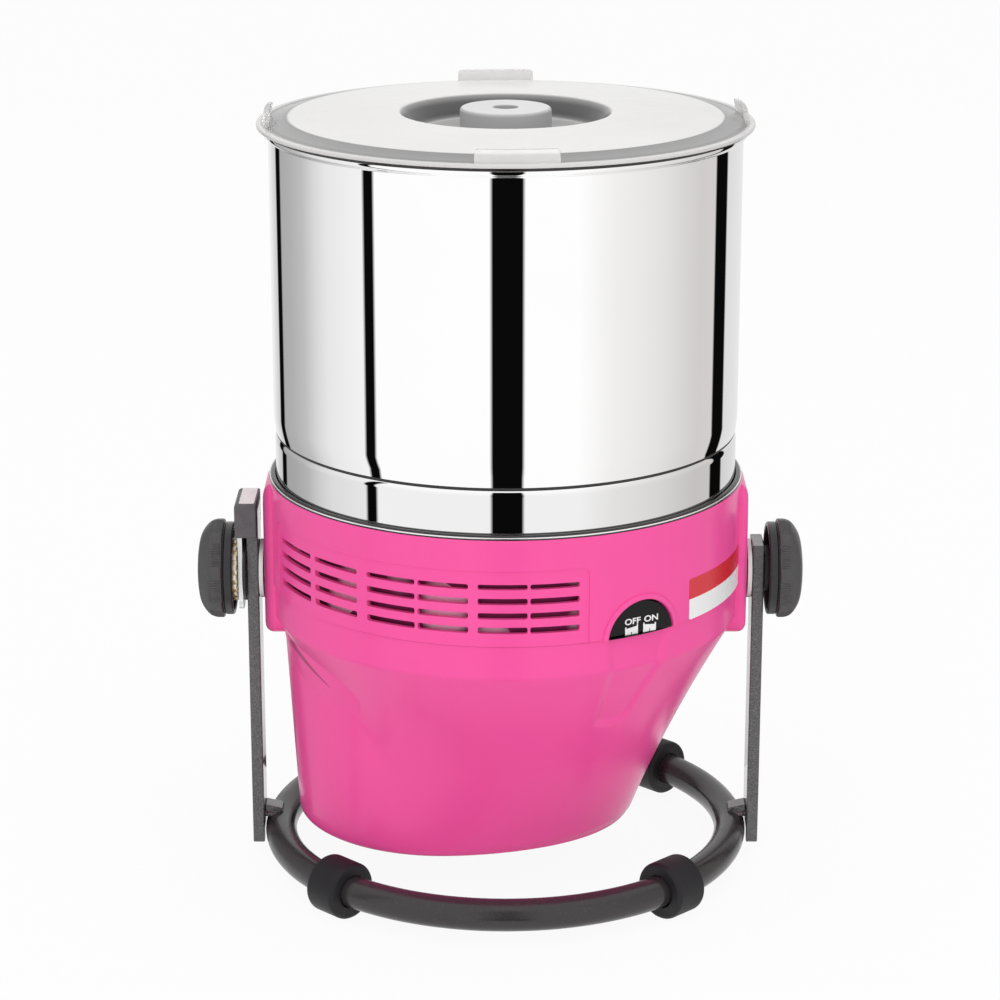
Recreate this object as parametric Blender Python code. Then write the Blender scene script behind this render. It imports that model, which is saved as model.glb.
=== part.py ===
"""Tilting table-top wet grinder: a steel drum with roller stones over a motor housing on a ring stand.

Metres, +Z up, the floor at z = 0 and the front towards -Y. The drum's own axis stands at x = AXIS_X,
so that the whole machine's box is centred on the origin. Places below are given from the drum's axis.
"""
import math

import bmesh
import bpy
from mathutils import Matrix, Vector

MM = 0.001
QUARTER = math.pi / 2
FULL = 2 * math.pi

# Fits
FIT = 0.3 * MM                    # clear gap between two pieces that touch
OVERRUN = 2.0 * MM                # how far a cutter runs past the faces that it cuts
MERGE_DISTANCE = 0.0005 * MM      # points closer than this are one point
SHARP_ANGLE = math.radians(30.0)  # edges that bend more than this are drawn sharp

# Fineness of round pieces
LARGE_SEGMENTS = 40
MEDIUM_SEGMENTS = 20
SMALL_SEGMENTS = 12
TINY_SEGMENTS = 8
RING_SEGMENTS = 48

# Square teeth and blades: halves of the foot and the tip as shares of the pitch
TOOTH_FOOT_SHARE = 0.25
TOOTH_TIP_SHARE = 0.15

# Heights of the main lines
PIVOT_HEIGHT = 154.0 * MM         # tilt axis above the floor
HOUSING_DROP = 128.0 * MM         # tilt axis to the underside of the housing
SEAM_DROP = 1.5 * MM              # tilt axis to the seam of the two housing shells
COLLAR_RISE = 52.5 * MM           # tilt axis to the collar's rim
LEDGE_RISE = 24.0 * MM            # collar's rim to the drum's ledge line
DRUM_RISE = 151.5 * MM            # drum's ledge line to the top of its rim
FOOT_LIFT = 5.9 * MM              # floor to the underside of the ring tube

# Drum
DRUM_RADIUS = 115.0 * MM
DRUM_SHEET = 1.2 * MM
BAND_INSET = 1.8 * MM             # lower band inside the radius of the wall
LEDGE_PROUD = 1.2 * MM            # ledge roll outside the radius of the wall
LEDGE_ROLL = 2.6 * MM             # half the height of the ledge roll
DRUM_CORNER = 4.0 * MM
RIM_PROUD = 6.2 * MM
RIM_ROLL = 2.9 * MM               # half the height of the rolled rim
RIM_THROAT = 1.6 * MM             # straight taper under the rolled rim
TUBE_WALL = 2.7 * MM              # centre tube of the drum

# Stones
BASE_STONE_THICKNESS = 20.2 * MM
BASE_STONE_MARGIN = 4.0 * MM      # clear ring around the base stone
ROLLER_ANGLE = math.radians(25.0)  # half angle of the conical rollers
ROLLER_MARGIN = 6.5 * MM          # roller's outer edge inside the base stone's edge
ROLLER_GAP = 0.95 * MM            # roller's inner end to the holder
ROLLER_EDGE = 1.5 * MM
ROLLER_COUNT = 3
AXLE_RADIUS = 4.0 * MM
AXLE_HEAD_RADIUS = 8.0 * MM
AXLE_HEAD = 5.0 * MM
BUSH_WALL = 2.7 * MM
HOLDER_RADIUS = 26.0 * MM
HOLDER_LIFT = 2.5 * MM            # grinding plane to the underside of the holder
HOLDER_HEIGHT = 39.5 * MM
HOLDER_ROOF = 11.0 * MM
HOLDER_CLEARANCE = 3.0 * MM       # running space around the drum's centre tube
HOLDER_EDGE = 2.0 * MM
NUT_RADIUS = 15.0 * MM
NUT_HEIGHT = 15.0 * MM
NUT_ROOF = 3.5 * MM
SPINDLE_RADIUS = 8.0 * MM
SPINDLE_FLANGE_RADIUS = 22.0 * MM
SPINDLE_FLANGE = 4.7 * MM
BUSH_LENGTH = 14.0 * MM           # plain bearing bushes of the drum

# Drive
PULLEY_HEIGHT = 16.7 * MM
PULLEY_RIM = 11.0 * MM
PULLEY_WEB = 4.0 * MM
PULLEY_RIM_WALL = 3.5 * MM
PULLEY_HUB_WALL = 5.7 * MM
PULLEY_SEPARATION = 5.0 * MM      # clear space between the two pulleys
DRIVE_PLATE_SHEET = 3.0 * MM
DRIVE_PLATE_MARGIN = 6.2 * MM     # drive plate inside the radius of the drum's band
DRIVE_RIM = 22.4 * MM
BELT_THICKNESS = 1.6 * MM
BELT_MARGIN = 1.5 * MM            # belt's edge to the edge of the pulley's rim
MOTOR_SHIFT = 26.0 * MM           # motor's axis beyond the tub's axis
MOTOR_CLEARANCE = 6.4 * MM        # motor's side to the foot of the tub's wall
MOTOR_ROOM_SHARE = 20 / 49        # motor's radius in the room from the drum's axis to that side
MOTOR_STEP = 5.0 * MM             # shoulder of the motor's end bells
MOTOR_BELL = 12.0 * MM
MOTOR_SHAFT_RADIUS = 5.0 * MM
MOTOR_PULLEY_RADIUS = 7.0 * MM
FAN_RADIUS = 30.0 * MM
FAN_HUB_SHARE = 0.55
FAN_THICKNESS = 10.0 * MM
FAN_GAP = 4.0 * MM
FAN_CLEARANCE = 16.5 * MM         # bottom cover to the fan
FAN_BLADES = 10
CAPACITOR_RADIUS = 17.5 * MM
CAPACITOR_LENGTH = 60.0 * MM
CAPACITOR_GAP = 25.5 * MM         # motor's side to the capacitor's side
CHASSIS_DROP = 14.5 * MM          # seam to the underside of the chassis plate
CHASSIS_THICKNESS = 3.0 * MM
CHASSIS_LEDGE = 4.4 * MM          # width of the ledge that carries the chassis plate

# Housing
COLLAR_PROUD = 4.0 * MM           # collar's wall outside the radius of the drum
COLLAR_LIP_PROUD = 1.3 * MM       # collar's rim outside its wall
COLLAR_LIP = 3.5 * MM
COLLAR_WALL = 3.0 * MM
SEAM_REBATE = 0.4 * MM            # step in the collar's lower edge
LOWER_INSET = 1.0 * MM            # lower shell inside the collar's wall
LOWER_WALL = 2.6 * MM
KNEE_DROP = 18.0 * MM             # tilt axis to the foot of the lower shell's upright wall
SKIRT_FOOT_RADIUS = 65.0 * MM
SKIRT_FLARE_SHARE = 0.22          # part of the skirt's spread that grows with the square of height
SKIRT_STEPS = 6
INNER_STEPS = 4
TUB_INSET = 4.4 * MM              # tub's top inside the collar's wall
TUB_DRAFT = 7.6 * MM
BOTTOM_ROUND = 2.5 * MM
COVER_RECESS = 0.5 * MM
COVER_THICKNESS = 3.0 * MM
LIP_THICKNESS = 3.2 * MM
LIP_WIDTH = 9.0 * MM
SCREW_RADIUS = 1.6 * MM
SCREW_HEAD_RADIUS = 2.7 * MM
SCREW_HEAD = 1.8 * MM
SCREW_END_GAP = 0.6 * MM
SCREW_AZIMUTHS_DEGREES = (-134.3, 134.3, -35.0, 35.0)  # around the drum's axis, from +X
EAR_PROUD = 3.5 * MM              # ear's flat face outside the collar's wall
EAR_HALF_WIDTH = 22.0 * MM
EAR_RISE = 41.0 * MM
EAR_DROP = 27.0 * MM
EAR_CORNER = 9.0 * MM
EAR_EDGE = 2.5 * MM
EAR_ROOT = 16.0 * MM              # how far the ear reaches inwards before the cavity is cut
CORNER_STEPS = 2

# Vents in the collar, front left: rows by height below the collar's rim, columns by azimuth
VENT_FIRST_DROP = 23.9 * MM
VENT_PITCH = 7.2 * MM
VENT_HEIGHT = 2.4 * MM
VENT_ROWS = 4
VENT_COLUMNS_DEGREES = ((-69.3, -53.5), (-51.3, -37.3), (-34.0, -21.7),
                        (-20.6, -8.9), (-6.3, 4.8), (5.8, 17.0))

# Switch, front right
SWITCH_AZIMUTH = math.radians(33.5)
SWITCH_RADIUS = 18.6 * MM
SWITCH_CENTRE_DROP = 1.5 * MM     # seam to the centre of the half-moon
SWITCH_SIDE_GAP = 0.6 * MM
SWITCH_RECESS = 2.4 * MM          # rocker's face inside the collar's wall
ROCKER_THICKNESS = 4.5 * MM
ROCKER_TILT = math.radians(4.0)
ROCKER_STEPS = 14
SWITCH_BODY_HALF_WIDTH = 11.0 * MM
SWITCH_BODY_DEPTH = 17.0 * MM
SWITCH_BODY_GAP = 2.0 * MM        # rocker's back to the switch body
SWITCH_POST_HALF_WIDTH = 1.5 * MM
SWITCH_POST_HEIGHT = 7.0 * MM

# Cord gland at the back
GLAND_RISE = 34.0 * MM            # underside of the housing to the gland's axis
GLAND_RADIUS = 8.0 * MM
GLAND_BORE = 3.6 * MM
GLAND_PROUD = 9.0 * MM
GLAND_ROOT = 9.0 * MM
GLAND_COLLAR_RADIUS = 11.0 * MM
GLAND_COLLAR = 2.5 * MM
GLAND_SEAT_GAP = 0.8 * MM         # gland's collar to the sloping wall

# Lid
LID_SHEET = 1.6 * MM
LID_SKIRT_DROP = 1.8 * MM         # lid's skirt below the top of the drum's rim
LID_BEVEL_RADIUS = 117.4 * MM
LID_BEVEL_WIDTH = 9.0 * MM
LID_PLATEAU_RISE = 4.6 * MM       # flange's face to the plateau
LID_WELL_RADIUS = 54.1 * MM
LID_WELL_DRAFT = 9.8 * MM
LID_WELL_DEPTH = 9.7 * MM
LID_TABS = 4
LID_TAB_TURN = math.radians(2.4)
LID_TAB_HALF_ANGLE = math.radians(9.2)
LID_TAB_THICKNESS = 2.6 * MM
LID_TAB_INSET = 3.4 * MM          # tab's outer face inside the flange's edge
LID_TAB_RISE = 8.2 * MM           # flange's face to the tab's top
LID_TAB_SINK = 0.8 * MM
LID_TAB_STEPS = 3
LID_KNOB_RADIUS = 22.5 * MM
LID_KNOB_HEIGHT = 11.9 * MM
LID_KNOB_EDGE = 1.2 * MM
LID_KNOB_HOLE_RADIUS = 6.1 * MM
LID_KNOB_HOLE_DEPTH = 4.0 * MM
LID_SCREW_RADIUS = 2.0 * MM
LID_SCREW_HEAD_RADIUS = 4.5 * MM
LID_SCREW_HEAD = 2.2 * MM
LID_SCREW_GRIP = 6.5 * MM         # length of the screw inside the knob

# Stand
TUBE_RADIUS = 8.0 * MM
TUBE_SIDES = 10
BAR_THICKNESS = 6.0 * MM
BAR_HALF_WIDTH = 10.5 * MM
BAR_FOOT = 7.0 * MM
RIGHT_BAR_RISE = 15.0 * MM        # tilt axis to the top of the right upright
FOOT_RADIUS = 14.5 * MM
FOOT_LENGTH = 19.0 * MM
FOOT_SIDES = 15
FOOT_STEPS = 2
FOOT_ANGLES = {"foot_front_left": -0.75 * math.pi, "foot_front_right": -0.25 * math.pi,
               "foot_rear_left": 0.75 * math.pi, "foot_rear_right": 0.25 * math.pi}
TAB_REACH = 12.5 * MM             # weld tab from the upright towards the tube's crest
TAB_HALF_WIDTH = 6.0 * MM
TAB_ROOT = 3.6 * MM
TAB_TIP = 2.2 * MM

# Pivot
BOLT_RADIUS = 4.0 * MM
BOLT_HEAD_RADIUS = 9.0 * MM
BOLT_HEAD = 4.8 * MM
BOLT_HEAD_GAP = 0.5 * MM
BOLT_GRIP = 9.0 * MM              # length of the bolt inside the knob
EAR_WASHER = 2.2 * MM
WASHER_RADIUS = 15.0 * MM
THRUST_WASHER = 1.7 * MM
THRUST_WASHER_RADIUS = 16.5 * MM
DISC_THICKNESS = 5.0 * MM
DISC_RADIUS = 16.5 * MM
DISC_TOOTH = 1.4 * MM
DISC_TEETH = 20
DISC_RECESS = 3.2 * MM
TILT_RANGE = QUARTER
KNOB_RADIUS = 26.5 * MM
KNOB_LENGTH = 18.6 * MM
KNOB_FLANGE_INSET = 1.9 * MM
KNOB_FLANGE = 4.6 * MM
KNOB_GROOVE = 1.3 * MM
KNOB_GROOVE_DEPTH = 1.4 * MM
KNOB_BAND = 3.2 * MM
KNOB_CROWN_SHARE = 0.36           # flat middle of the knob's crown
KNOB_STEPS = 4
KNOB_WALL = 3.1 * MM
KNOB_DISH = 5.5 * MM
KNOB_HUB_RADIUS = 11.5 * MM
LEFT_DISH_DEPTH = 3.5 * MM        # left knob's hub face inside its flange
RIGHT_HUB_PROUD = 2.2 * MM        # right knob's hub face outside its flange

# Lock slider on the left upright
LOCK_PLATE = 2.3 * MM
LOCK_PLATE_HALF_WIDTH = 9.0 * MM
LOCK_PLATE_DROP = 21.0 * MM       # tilt axis to the plate's lower end
LOCK_TRAVEL = 4.0 * MM
TOOTH_HALF_WIDTH = 3.0 * MM
CAP_DROP = 20.0 * MM              # tilt axis to the underside of the cap
CAP_HEIGHT = 18.0 * MM
CAP_ROOF = 3.6 * MM
CAP_HALF_WIDTH = 13.0 * MM
CAP_SIDE = 0.9 * MM               # cap's outer face beyond the plate

# Worked out: heights
HOUSING_BOTTOM = PIVOT_HEIGHT - HOUSING_DROP
SEAM_HEIGHT = PIVOT_HEIGHT - SEAM_DROP
COLLAR_BOTTOM = SEAM_HEIGHT + FIT
COLLAR_TOP = PIVOT_HEIGHT + COLLAR_RISE
KNEE_HEIGHT = PIVOT_HEIGHT - KNEE_DROP
LEDGE_HEIGHT = COLLAR_TOP + LEDGE_RISE
RIM_TOP = LEDGE_HEIGHT + DRUM_RISE
CHASSIS_BOTTOM = SEAM_HEIGHT - CHASSIS_DROP
CHASSIS_TOP = CHASSIS_BOTTOM + CHASSIS_THICKNESS
SPINDLE_BOTTOM = CHASSIS_TOP + FIT
PULLEY_BOTTOM = SPINDLE_BOTTOM + SPINDLE_FLANGE + FIT
PULLEY_TOP = PULLEY_BOTTOM + PULLEY_HEIGHT
PULLEY_MIDDLE = PULLEY_BOTTOM + PULLEY_HEIGHT / 2
DRIVE_BOTTOM = PULLEY_TOP + FIT
DRUM_BOTTOM = DRIVE_BOTTOM + DRIVE_RIM + FIT
BASE_STONE_BOTTOM = DRUM_BOTTOM + DRUM_SHEET + FIT
GRINDING_PLANE = BASE_STONE_BOTTOM + BASE_STONE_THICKNESS
APEX_HEIGHT = GRINDING_PLANE + FIT
HOLDER_BOTTOM = GRINDING_PLANE + HOLDER_LIFT
HOLDER_TOP = HOLDER_BOTTOM + HOLDER_HEIGHT
CAVITY_TOP = HOLDER_TOP - HOLDER_ROOF
NUT_BOTTOM = HOLDER_TOP + FIT
TUBE_TOP = CAVITY_TOP - HOLDER_CLEARANCE
SPINDLE_TOP = NUT_BOTTOM + NUT_HEIGHT - NUT_ROOF - FIT
RING_HEIGHT = FOOT_LIFT + TUBE_RADIUS
LIP_BOTTOM = HOUSING_BOTTOM + COVER_RECESS + COVER_THICKNESS + FIT
LIP_TOP = LIP_BOTTOM + LIP_THICKNESS
FAN_BOTTOM = HOUSING_BOTTOM + COVER_RECESS + COVER_THICKNESS + FAN_CLEARANCE
FAN_TOP = FAN_BOTTOM + FAN_THICKNESS
MOTOR_BOTTOM = FAN_TOP + FAN_GAP
MOTOR_TOP = CHASSIS_BOTTOM - FIT

# Worked out: radii
BAND_RADIUS = DRUM_RADIUS - BAND_INSET
BASE_STONE_RADIUS = BAND_RADIUS - DRUM_SHEET - BASE_STONE_MARGIN
BUSH_BORE = SPINDLE_RADIUS + FIT
BUSH_RADIUS = BUSH_BORE + BUSH_WALL
TUBE_BORE = BUSH_RADIUS + FIT
TUBE_OUTER = TUBE_BORE + TUBE_WALL
HOLDER_CAVITY = TUBE_OUTER + HOLDER_CLEARANCE
COLLAR_RADIUS = DRUM_RADIUS + COLLAR_PROUD
LOWER_RADIUS = COLLAR_RADIUS - LOWER_INSET
MOTOR_ROOM = COLLAR_RADIUS - TUB_INSET - TUB_DRAFT - LOWER_WALL - MOTOR_CLEARANCE
MOTOR_RADIUS = MOTOR_ROOM * MOTOR_ROOM_SHARE
MOTOR_OFFSET = MOTOR_ROOM - MOTOR_RADIUS
TUB_OFFSET = MOTOR_OFFSET - MOTOR_SHIFT
TUB_FOOT_RADIUS = MOTOR_SHIFT + MOTOR_RADIUS + MOTOR_CLEARANCE + LOWER_WALL
TUB_TOP_RADIUS = TUB_FOOT_RADIUS + TUB_DRAFT
CHASSIS_RADIUS = LOWER_RADIUS - LOWER_WALL - FIT
PULLEY_RADIUS = MOTOR_OFFSET - MOTOR_PULLEY_RADIUS - PULLEY_SEPARATION
LID_RADIUS = DRUM_RADIUS + RIM_PROUD + FIT + LID_SHEET
ROLLER_BORE = AXLE_RADIUS + FIT + BUSH_WALL + FIT
ROLLER_INNER = (HOLDER_RADIUS + ROLLER_GAP) * math.cos(ROLLER_ANGLE) / math.cos(2 * ROLLER_ANGLE)
ROLLER_OUTER = (BASE_STONE_RADIUS - ROLLER_MARGIN) * math.cos(ROLLER_ANGLE)

# Worked out: the stack of pieces along the tilt axis
EAR_FACE = COLLAR_RADIUS + EAR_PROUD
BAR_INNER = EAR_FACE + EAR_WASHER + 2 * FIT
BAR_OUTER = BAR_INNER + BAR_THICKNESS
RING_RADIUS = BAR_INNER - FIT - TUBE_RADIUS
PLATE_INNER = BAR_OUTER + THRUST_WASHER + 2 * FIT
PLATE_OUTER = PLATE_INNER + LOCK_PLATE
DISC_INNER = PLATE_OUTER + FIT
DISC_OUTER = DISC_INNER + DISC_THICKNESS
LEFT_KNOB_BACK = DISC_OUTER + FIT - LEFT_DISH_DEPTH
RIGHT_KNOB_BACK = BAR_OUTER + FIT + RIGHT_HUB_PROUD
LEFT_REACH = LEFT_KNOB_BACK + KNOB_LENGTH
RIGHT_REACH = RIGHT_KNOB_BACK + KNOB_LENGTH
AXIS_X = (LEFT_REACH - RIGHT_REACH) / 2
BOLT_HEAD_OUTER = math.sqrt((LOWER_RADIUS - LOWER_WALL) ** 2 - BOLT_HEAD_RADIUS ** 2) - BOLT_HEAD_GAP
CAP_BOTTOM = PIVOT_HEIGHT + CAP_DROP
CAP_TOP = CAP_BOTTOM + CAP_HEIGHT
KNOB_FLANGE_RADIUS = KNOB_RADIUS - KNOB_FLANGE_INSET
KNOB_DISH_RADIUS = KNOB_FLANGE_RADIUS - KNOB_WALL
TOOTH_LOW = DISC_RADIUS - DISC_RECESS + FIT
TOOTH_HIGH = math.sqrt((KNOB_DISH_RADIUS - FIT) ** 2 - TOOTH_HALF_WIDTH ** 2) - LOCK_TRAVEL

LEFT, RIGHT = -1, 1
ALONG_X = {LEFT: (0, -QUARTER, 0), RIGHT: (0, QUARTER, 0)}
FACING_X = {LEFT: (QUARTER, 0, -QUARTER), RIGHT: (QUARTER, 0, QUARTER)}
SIDE_NAMES = {LEFT: "left", RIGHT: "right"}


def clear_scene():
    """Remove what the file holds before the model is made."""
    for item in list(bpy.data.objects):
        bpy.data.objects.remove(item, do_unlink=True)


def make_material(name, colour, roughness, metallic=0.0):
    """Return a material with one Principled shader."""
    material = bpy.data.materials.new(name)
    material.use_nodes = True
    shader = material.node_tree.nodes["Principled BSDF"]
    shader.inputs["Base Color"].default_value = (*colour, 1.0)
    shader.inputs["Roughness"].default_value = roughness
    shader.inputs["Metallic"].default_value = metallic
    material.diffuse_color = (*colour, 1.0)
    return material


def make_materials():
    """Return every finish of the machine by name."""
    return {
        "housing": make_material("pink_plastic", (0.87, 0.10, 0.35), 0.25),
        "steel": make_material("polished_steel", (0.80, 0.80, 0.82), 0.08, 1.0),
        "frame": make_material("black_powder_coat", (0.03, 0.03, 0.03), 0.6),
        "rubber": make_material("black_rubber", (0.02, 0.02, 0.02), 0.7),
        "black": make_material("black_plastic", (0.03, 0.03, 0.03), 0.5),
        "clear": make_material("clear_lid_plastic", (0.85, 0.84, 0.84), 0.15),
        "grey": make_material("grey_plastic", (0.55, 0.55, 0.58), 0.4),
        "zinc": make_material("zinc_plate", (0.75, 0.75, 0.76), 0.3, 1.0),
        "brass": make_material("yellow_zinc", (0.72, 0.58, 0.30), 0.3, 1.0),
        "granite": make_material("granite", (0.12, 0.12, 0.13), 0.7),
        "nylon": make_material("white_nylon", (0.80, 0.80, 0.78), 0.5),
        "aluminium": make_material("cast_aluminium", (0.70, 0.70, 0.72), 0.3, 1.0),
        "bronze": make_material("bronze", (0.55, 0.38, 0.20), 0.35, 1.0),
        "iron": make_material("grey_iron", (0.30, 0.31, 0.33), 0.5, 1.0),
        "belt": make_material("belt_rubber", (0.03, 0.03, 0.03), 0.8),
    }


class Carrier:
    """An empty on a joint's axis that carries the pieces of one moving body."""

    def __init__(self, name, origin, parent=None):
        self.origin = Vector(origin)
        self.empty = bpy.data.objects.new(name, None)
        bpy.context.scene.collection.objects.link(self.empty)
        if parent is None:
            self.empty.location = self.origin + Vector((AXIS_X, 0, 0))
        else:
            self.empty.parent = parent.empty
            self.empty.location = self.origin - parent.origin


def finish(name, bm, carrier, material, at=(0, 0, 0), turn=(0, 0, 0)):
    """Make an object of a bmesh, at a place given from the drum's axis, on its carrier."""
    bmesh.ops.recalc_face_normals(bm, faces=bm.faces)
    mesh = bpy.data.meshes.new(name)
    bm.to_mesh(mesh)
    bm.free()
    mesh.shade_smooth()
    mesh.set_sharp_from_angle(angle=SHARP_ANGLE)
    item = bpy.data.objects.new(name, mesh)
    bpy.context.scene.collection.objects.link(item)
    if material is not None:
        mesh.materials.append(material)
    item.parent = carrier.empty
    item.location = Vector(at) - carrier.origin
    item.rotation_euler = turn
    return item


def hide_cutter(item):
    """Mark an object as a cutter, which is no piece of the machine."""
    item.hide_render = True
    item.display_type = "WIRE"
    return item


def combine(item, other, operation):
    """Add a Boolean modifier that cuts or joins another object."""
    modifier = item.modifiers.new(operation.lower(), "BOOLEAN")
    modifier.operation = operation
    modifier.solver = "EXACT"
    modifier.object = other
    return item


def cut(item, *cutters):
    """Cut one or more objects from an item."""
    for cutter in cutters:
        combine(item, cutter, "DIFFERENCE")
    return item


def join(item, *others):
    """Join one or more objects to an item."""
    for other in others:
        combine(item, other, "UNION")
    return item


def turned_bmesh(outline, segments):
    """Spin an outline of (radius, height) points around Z.

    An outline that starts and ends on the axis is left open, any other is closed.
    """
    bm = bmesh.new()
    points = [bm.verts.new((radius, 0, height)) for radius, height in outline]
    on_axis = outline[0][0] == 0 and outline[-1][0] == 0
    pairs = zip(points, points[1:] if on_axis else points[1:] + points[:1])
    edges = [bm.edges.new(pair) for pair in pairs]
    bmesh.ops.spin(bm, geom=points + edges, cent=(0, 0, 0), axis=(0, 0, 1), angle=FULL,
                   steps=segments, use_merge=True)
    bmesh.ops.remove_doubles(bm, verts=bm.verts, dist=MERGE_DISTANCE)
    return bm


def turned(name, outline, segments, carrier, material, at=(0, 0, 0), turn=(0, 0, 0)):
    """Make a turned piece."""
    return finish(name, turned_bmesh(outline, segments), carrier, material, at, turn)


def rod(name, radius, low, high, segments, carrier, material, at=(0, 0, 0), turn=(0, 0, 0)):
    """Make a plain round rod between two heights of its own axis."""
    outline = [(0, low), (radius, low), (radius, high), (0, high)]
    return turned(name, outline, segments, carrier, material, at, turn)


def tube(name, bore, radius, low, high, segments, carrier, material, at=(0, 0, 0), turn=(0, 0, 0)):
    """Make a plain round tube between two heights of its own axis."""
    outline = [(bore, low), (radius, low), (radius, high), (bore, high)]
    return turned(name, outline, segments, carrier, material, at, turn)


def box(name, low, high, carrier, material):
    """Make a box between two corners given from the drum's axis."""
    low, high = Vector(low), Vector(high)
    bm = bmesh.new()
    size = Matrix.Diagonal((*(high - low), 1))
    bmesh.ops.create_cube(bm, size=1, matrix=Matrix.Translation((low + high) / 2) @ size)
    return finish(name, bm, carrier, material)


def raise_faces(bm, faces, height):
    """Extrude a flat region along +Z."""
    grown = bmesh.ops.extrude_face_region(bm, geom=faces)["geom"]
    verts = [item for item in grown if isinstance(item, bmesh.types.BMVert)]
    bmesh.ops.translate(bm, vec=(0, 0, height), verts=verts)
    return [item for item in grown if isinstance(item, bmesh.types.BMFace)]


def extruded(name, outline, low, high, carrier, material, at=(0, 0, 0), turn=(0, 0, 0)):
    """Extrude an outline of (x, y) points of the piece's own frame along its own Z."""
    bm = bmesh.new()
    face = bm.faces.new([bm.verts.new((x, y, low)) for x, y in outline])
    raise_faces(bm, [face], high - low)
    return finish(name, bm, carrier, material, at, turn)


def ribbon_bmesh(outer, inner, low, high):
    """Extrude the band between two loops that have the same number of points."""
    bm = bmesh.new()
    rings = [[bm.verts.new((x, y, low)) for x, y in loop] for loop in (outer, inner)]
    count = len(outer)
    faces = []
    for index in range(count):
        after = (index + 1) % count
        faces.append(bm.faces.new((rings[0][index], rings[0][after], rings[1][after], rings[1][index])))
    raise_faces(bm, faces, high - low)
    return bm


def arc_points(centre, radius, start, end, steps):
    """Return points along an arc, both ends included."""
    turn = (end - start) / steps
    return [(centre[0] + radius * math.cos(start + index * turn),
             centre[1] + radius * math.sin(start + index * turn)) for index in range(steps + 1)]


def rounded_outline(half_width, low, high, corner, steps):
    """Return the outline of an upright plate with four round corners."""
    right, left = half_width - corner, corner - half_width
    outline = arc_points((right, low + corner), corner, -QUARTER, 0, steps)
    outline += arc_points((right, high - corner), corner, 0, QUARTER, steps)
    outline += arc_points((left, high - corner), corner, QUARTER, 2 * QUARTER, steps)
    outline += arc_points((left, low + corner), corner, 2 * QUARTER, 3 * QUARTER, steps)
    return outline


def toothed_outline(count, outer, inner):
    """Return the outline of a disc with square teeth."""
    pitch = FULL / count
    outline = []
    for index in range(count):
        for share, radius in ((-TOOTH_FOOT_SHARE, inner), (-TOOTH_TIP_SHARE, outer),
                              (TOOTH_TIP_SHARE, outer), (TOOTH_FOOT_SHARE, inner)):
            angle = (index + share) * pitch
            outline.append((radius * math.cos(angle), radius * math.sin(angle)))
    return outline


def sector_bmesh(bm, inner, outer, low, high, start, end, steps):
    """Add a block that follows a ring between two angles, counted from +X."""
    corners = [bm.verts.new((radius * math.cos(start), radius * math.sin(start), height))
               for radius, height in ((inner, low), (outer, low), (outer, high), (inner, high))]
    face = bm.faces.new(corners)
    geometry = [face, *face.edges, *face.verts]
    bmesh.ops.spin(bm, geom=geometry, cent=(0, 0, 0), axis=(0, 0, 1), angle=end - start, steps=steps)


def from_front(azimuth):
    """Turn an azimuth from the front, positive to the right, into an angle from +X."""
    return azimuth - QUARTER


def skirt_radius(height):
    """Return the lower shell's radius around the drum's axis at a height."""
    rise = (height - HOUSING_BOTTOM) / (KNEE_HEIGHT - HOUSING_BOTTOM)
    rise = min(max(rise, 0.0), 1.0)
    spread = rise * (1 - SKIRT_FLARE_SHARE) + SKIRT_FLARE_SHARE * rise ** 2
    return SKIRT_FOOT_RADIUS + (LOWER_RADIUS - SKIRT_FOOT_RADIUS) * spread


def tub_radius(height):
    """Return the motor tub's radius around its own axis at a height."""
    rise = (height - HOUSING_BOTTOM) / (SEAM_HEIGHT - HOUSING_BOTTOM)
    return TUB_FOOT_RADIUS + TUB_DRAFT * rise


def form_radius(angle, height, offset, limit=math.inf):
    """Return how far the lower shell reaches from the drum's axis in one direction, at a height.

    The shell is the skirt around the drum's axis joined to the motor tub beside it.
    """
    tub = tub_radius(height) + offset
    across = TUB_OFFSET * math.sin(angle)
    reach = math.sqrt(max(tub ** 2 - across ** 2, 0.0)) - TUB_OFFSET * math.cos(angle)
    return min(max(skirt_radius(height) + offset, reach), limit)


def form_ring(height, offset, level=None, limit=math.inf):
    """Return a loop around the lower shell's form at a height, set at that or another level."""
    level = height if level is None else level
    ring = []
    for index in range(LARGE_SEGMENTS):
        angle = FULL * index / LARGE_SEGMENTS
        radius = form_radius(angle, height, offset, limit)
        ring.append((radius * math.cos(angle), radius * math.sin(angle), level))
    return ring


def steps_between(low, high, count):
    """Return evenly spaced values from low to high, both included."""
    return [low + (high - low) * index / count for index in range(count + 1)]


def lofted(name, rings, closed, carrier, material):
    """Bridge rings that have the same number of points, and close the ends or join them."""
    bm = bmesh.new()
    loops = [[bm.verts.new(point) for point in ring] for ring in rings]
    pairs = list(zip(loops, loops[1:]))
    if closed:
        pairs.append((loops[-1], loops[0]))
    else:
        bm.faces.new(loops[0])
        bm.faces.new(loops[-1])
    for lower, upper in pairs:
        for index in range(len(lower)):
            after = (index + 1) % len(lower)
            bm.faces.new((lower[index], lower[after], upper[after], upper[index]))
    return finish(name, bm, carrier, material)


def make_ring(stand, finishes):
    """Make the tube ring that the machine stands on."""
    outline = arc_points((RING_RADIUS, 0), TUBE_RADIUS, 0, FULL, TUBE_SIDES)[:-1]
    turned("base_ring", outline, RING_SEGMENTS, stand, finishes["frame"], at=(0, 0, RING_HEIGHT))


def foot_section():
    """Return the foot's outer loop, which ends in the flat on the floor, and the loop of its bore."""
    flat = math.acos(RING_HEIGHT / FOOT_RADIUS)
    bore = (TUBE_RADIUS + FIT) / math.cos(flat)
    start, end = flat - QUARTER, 3 * QUARTER - flat
    return [arc_points((0, 0), radius, start, end, FOOT_SIDES) for radius in (FOOT_RADIUS, bore)]


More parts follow.
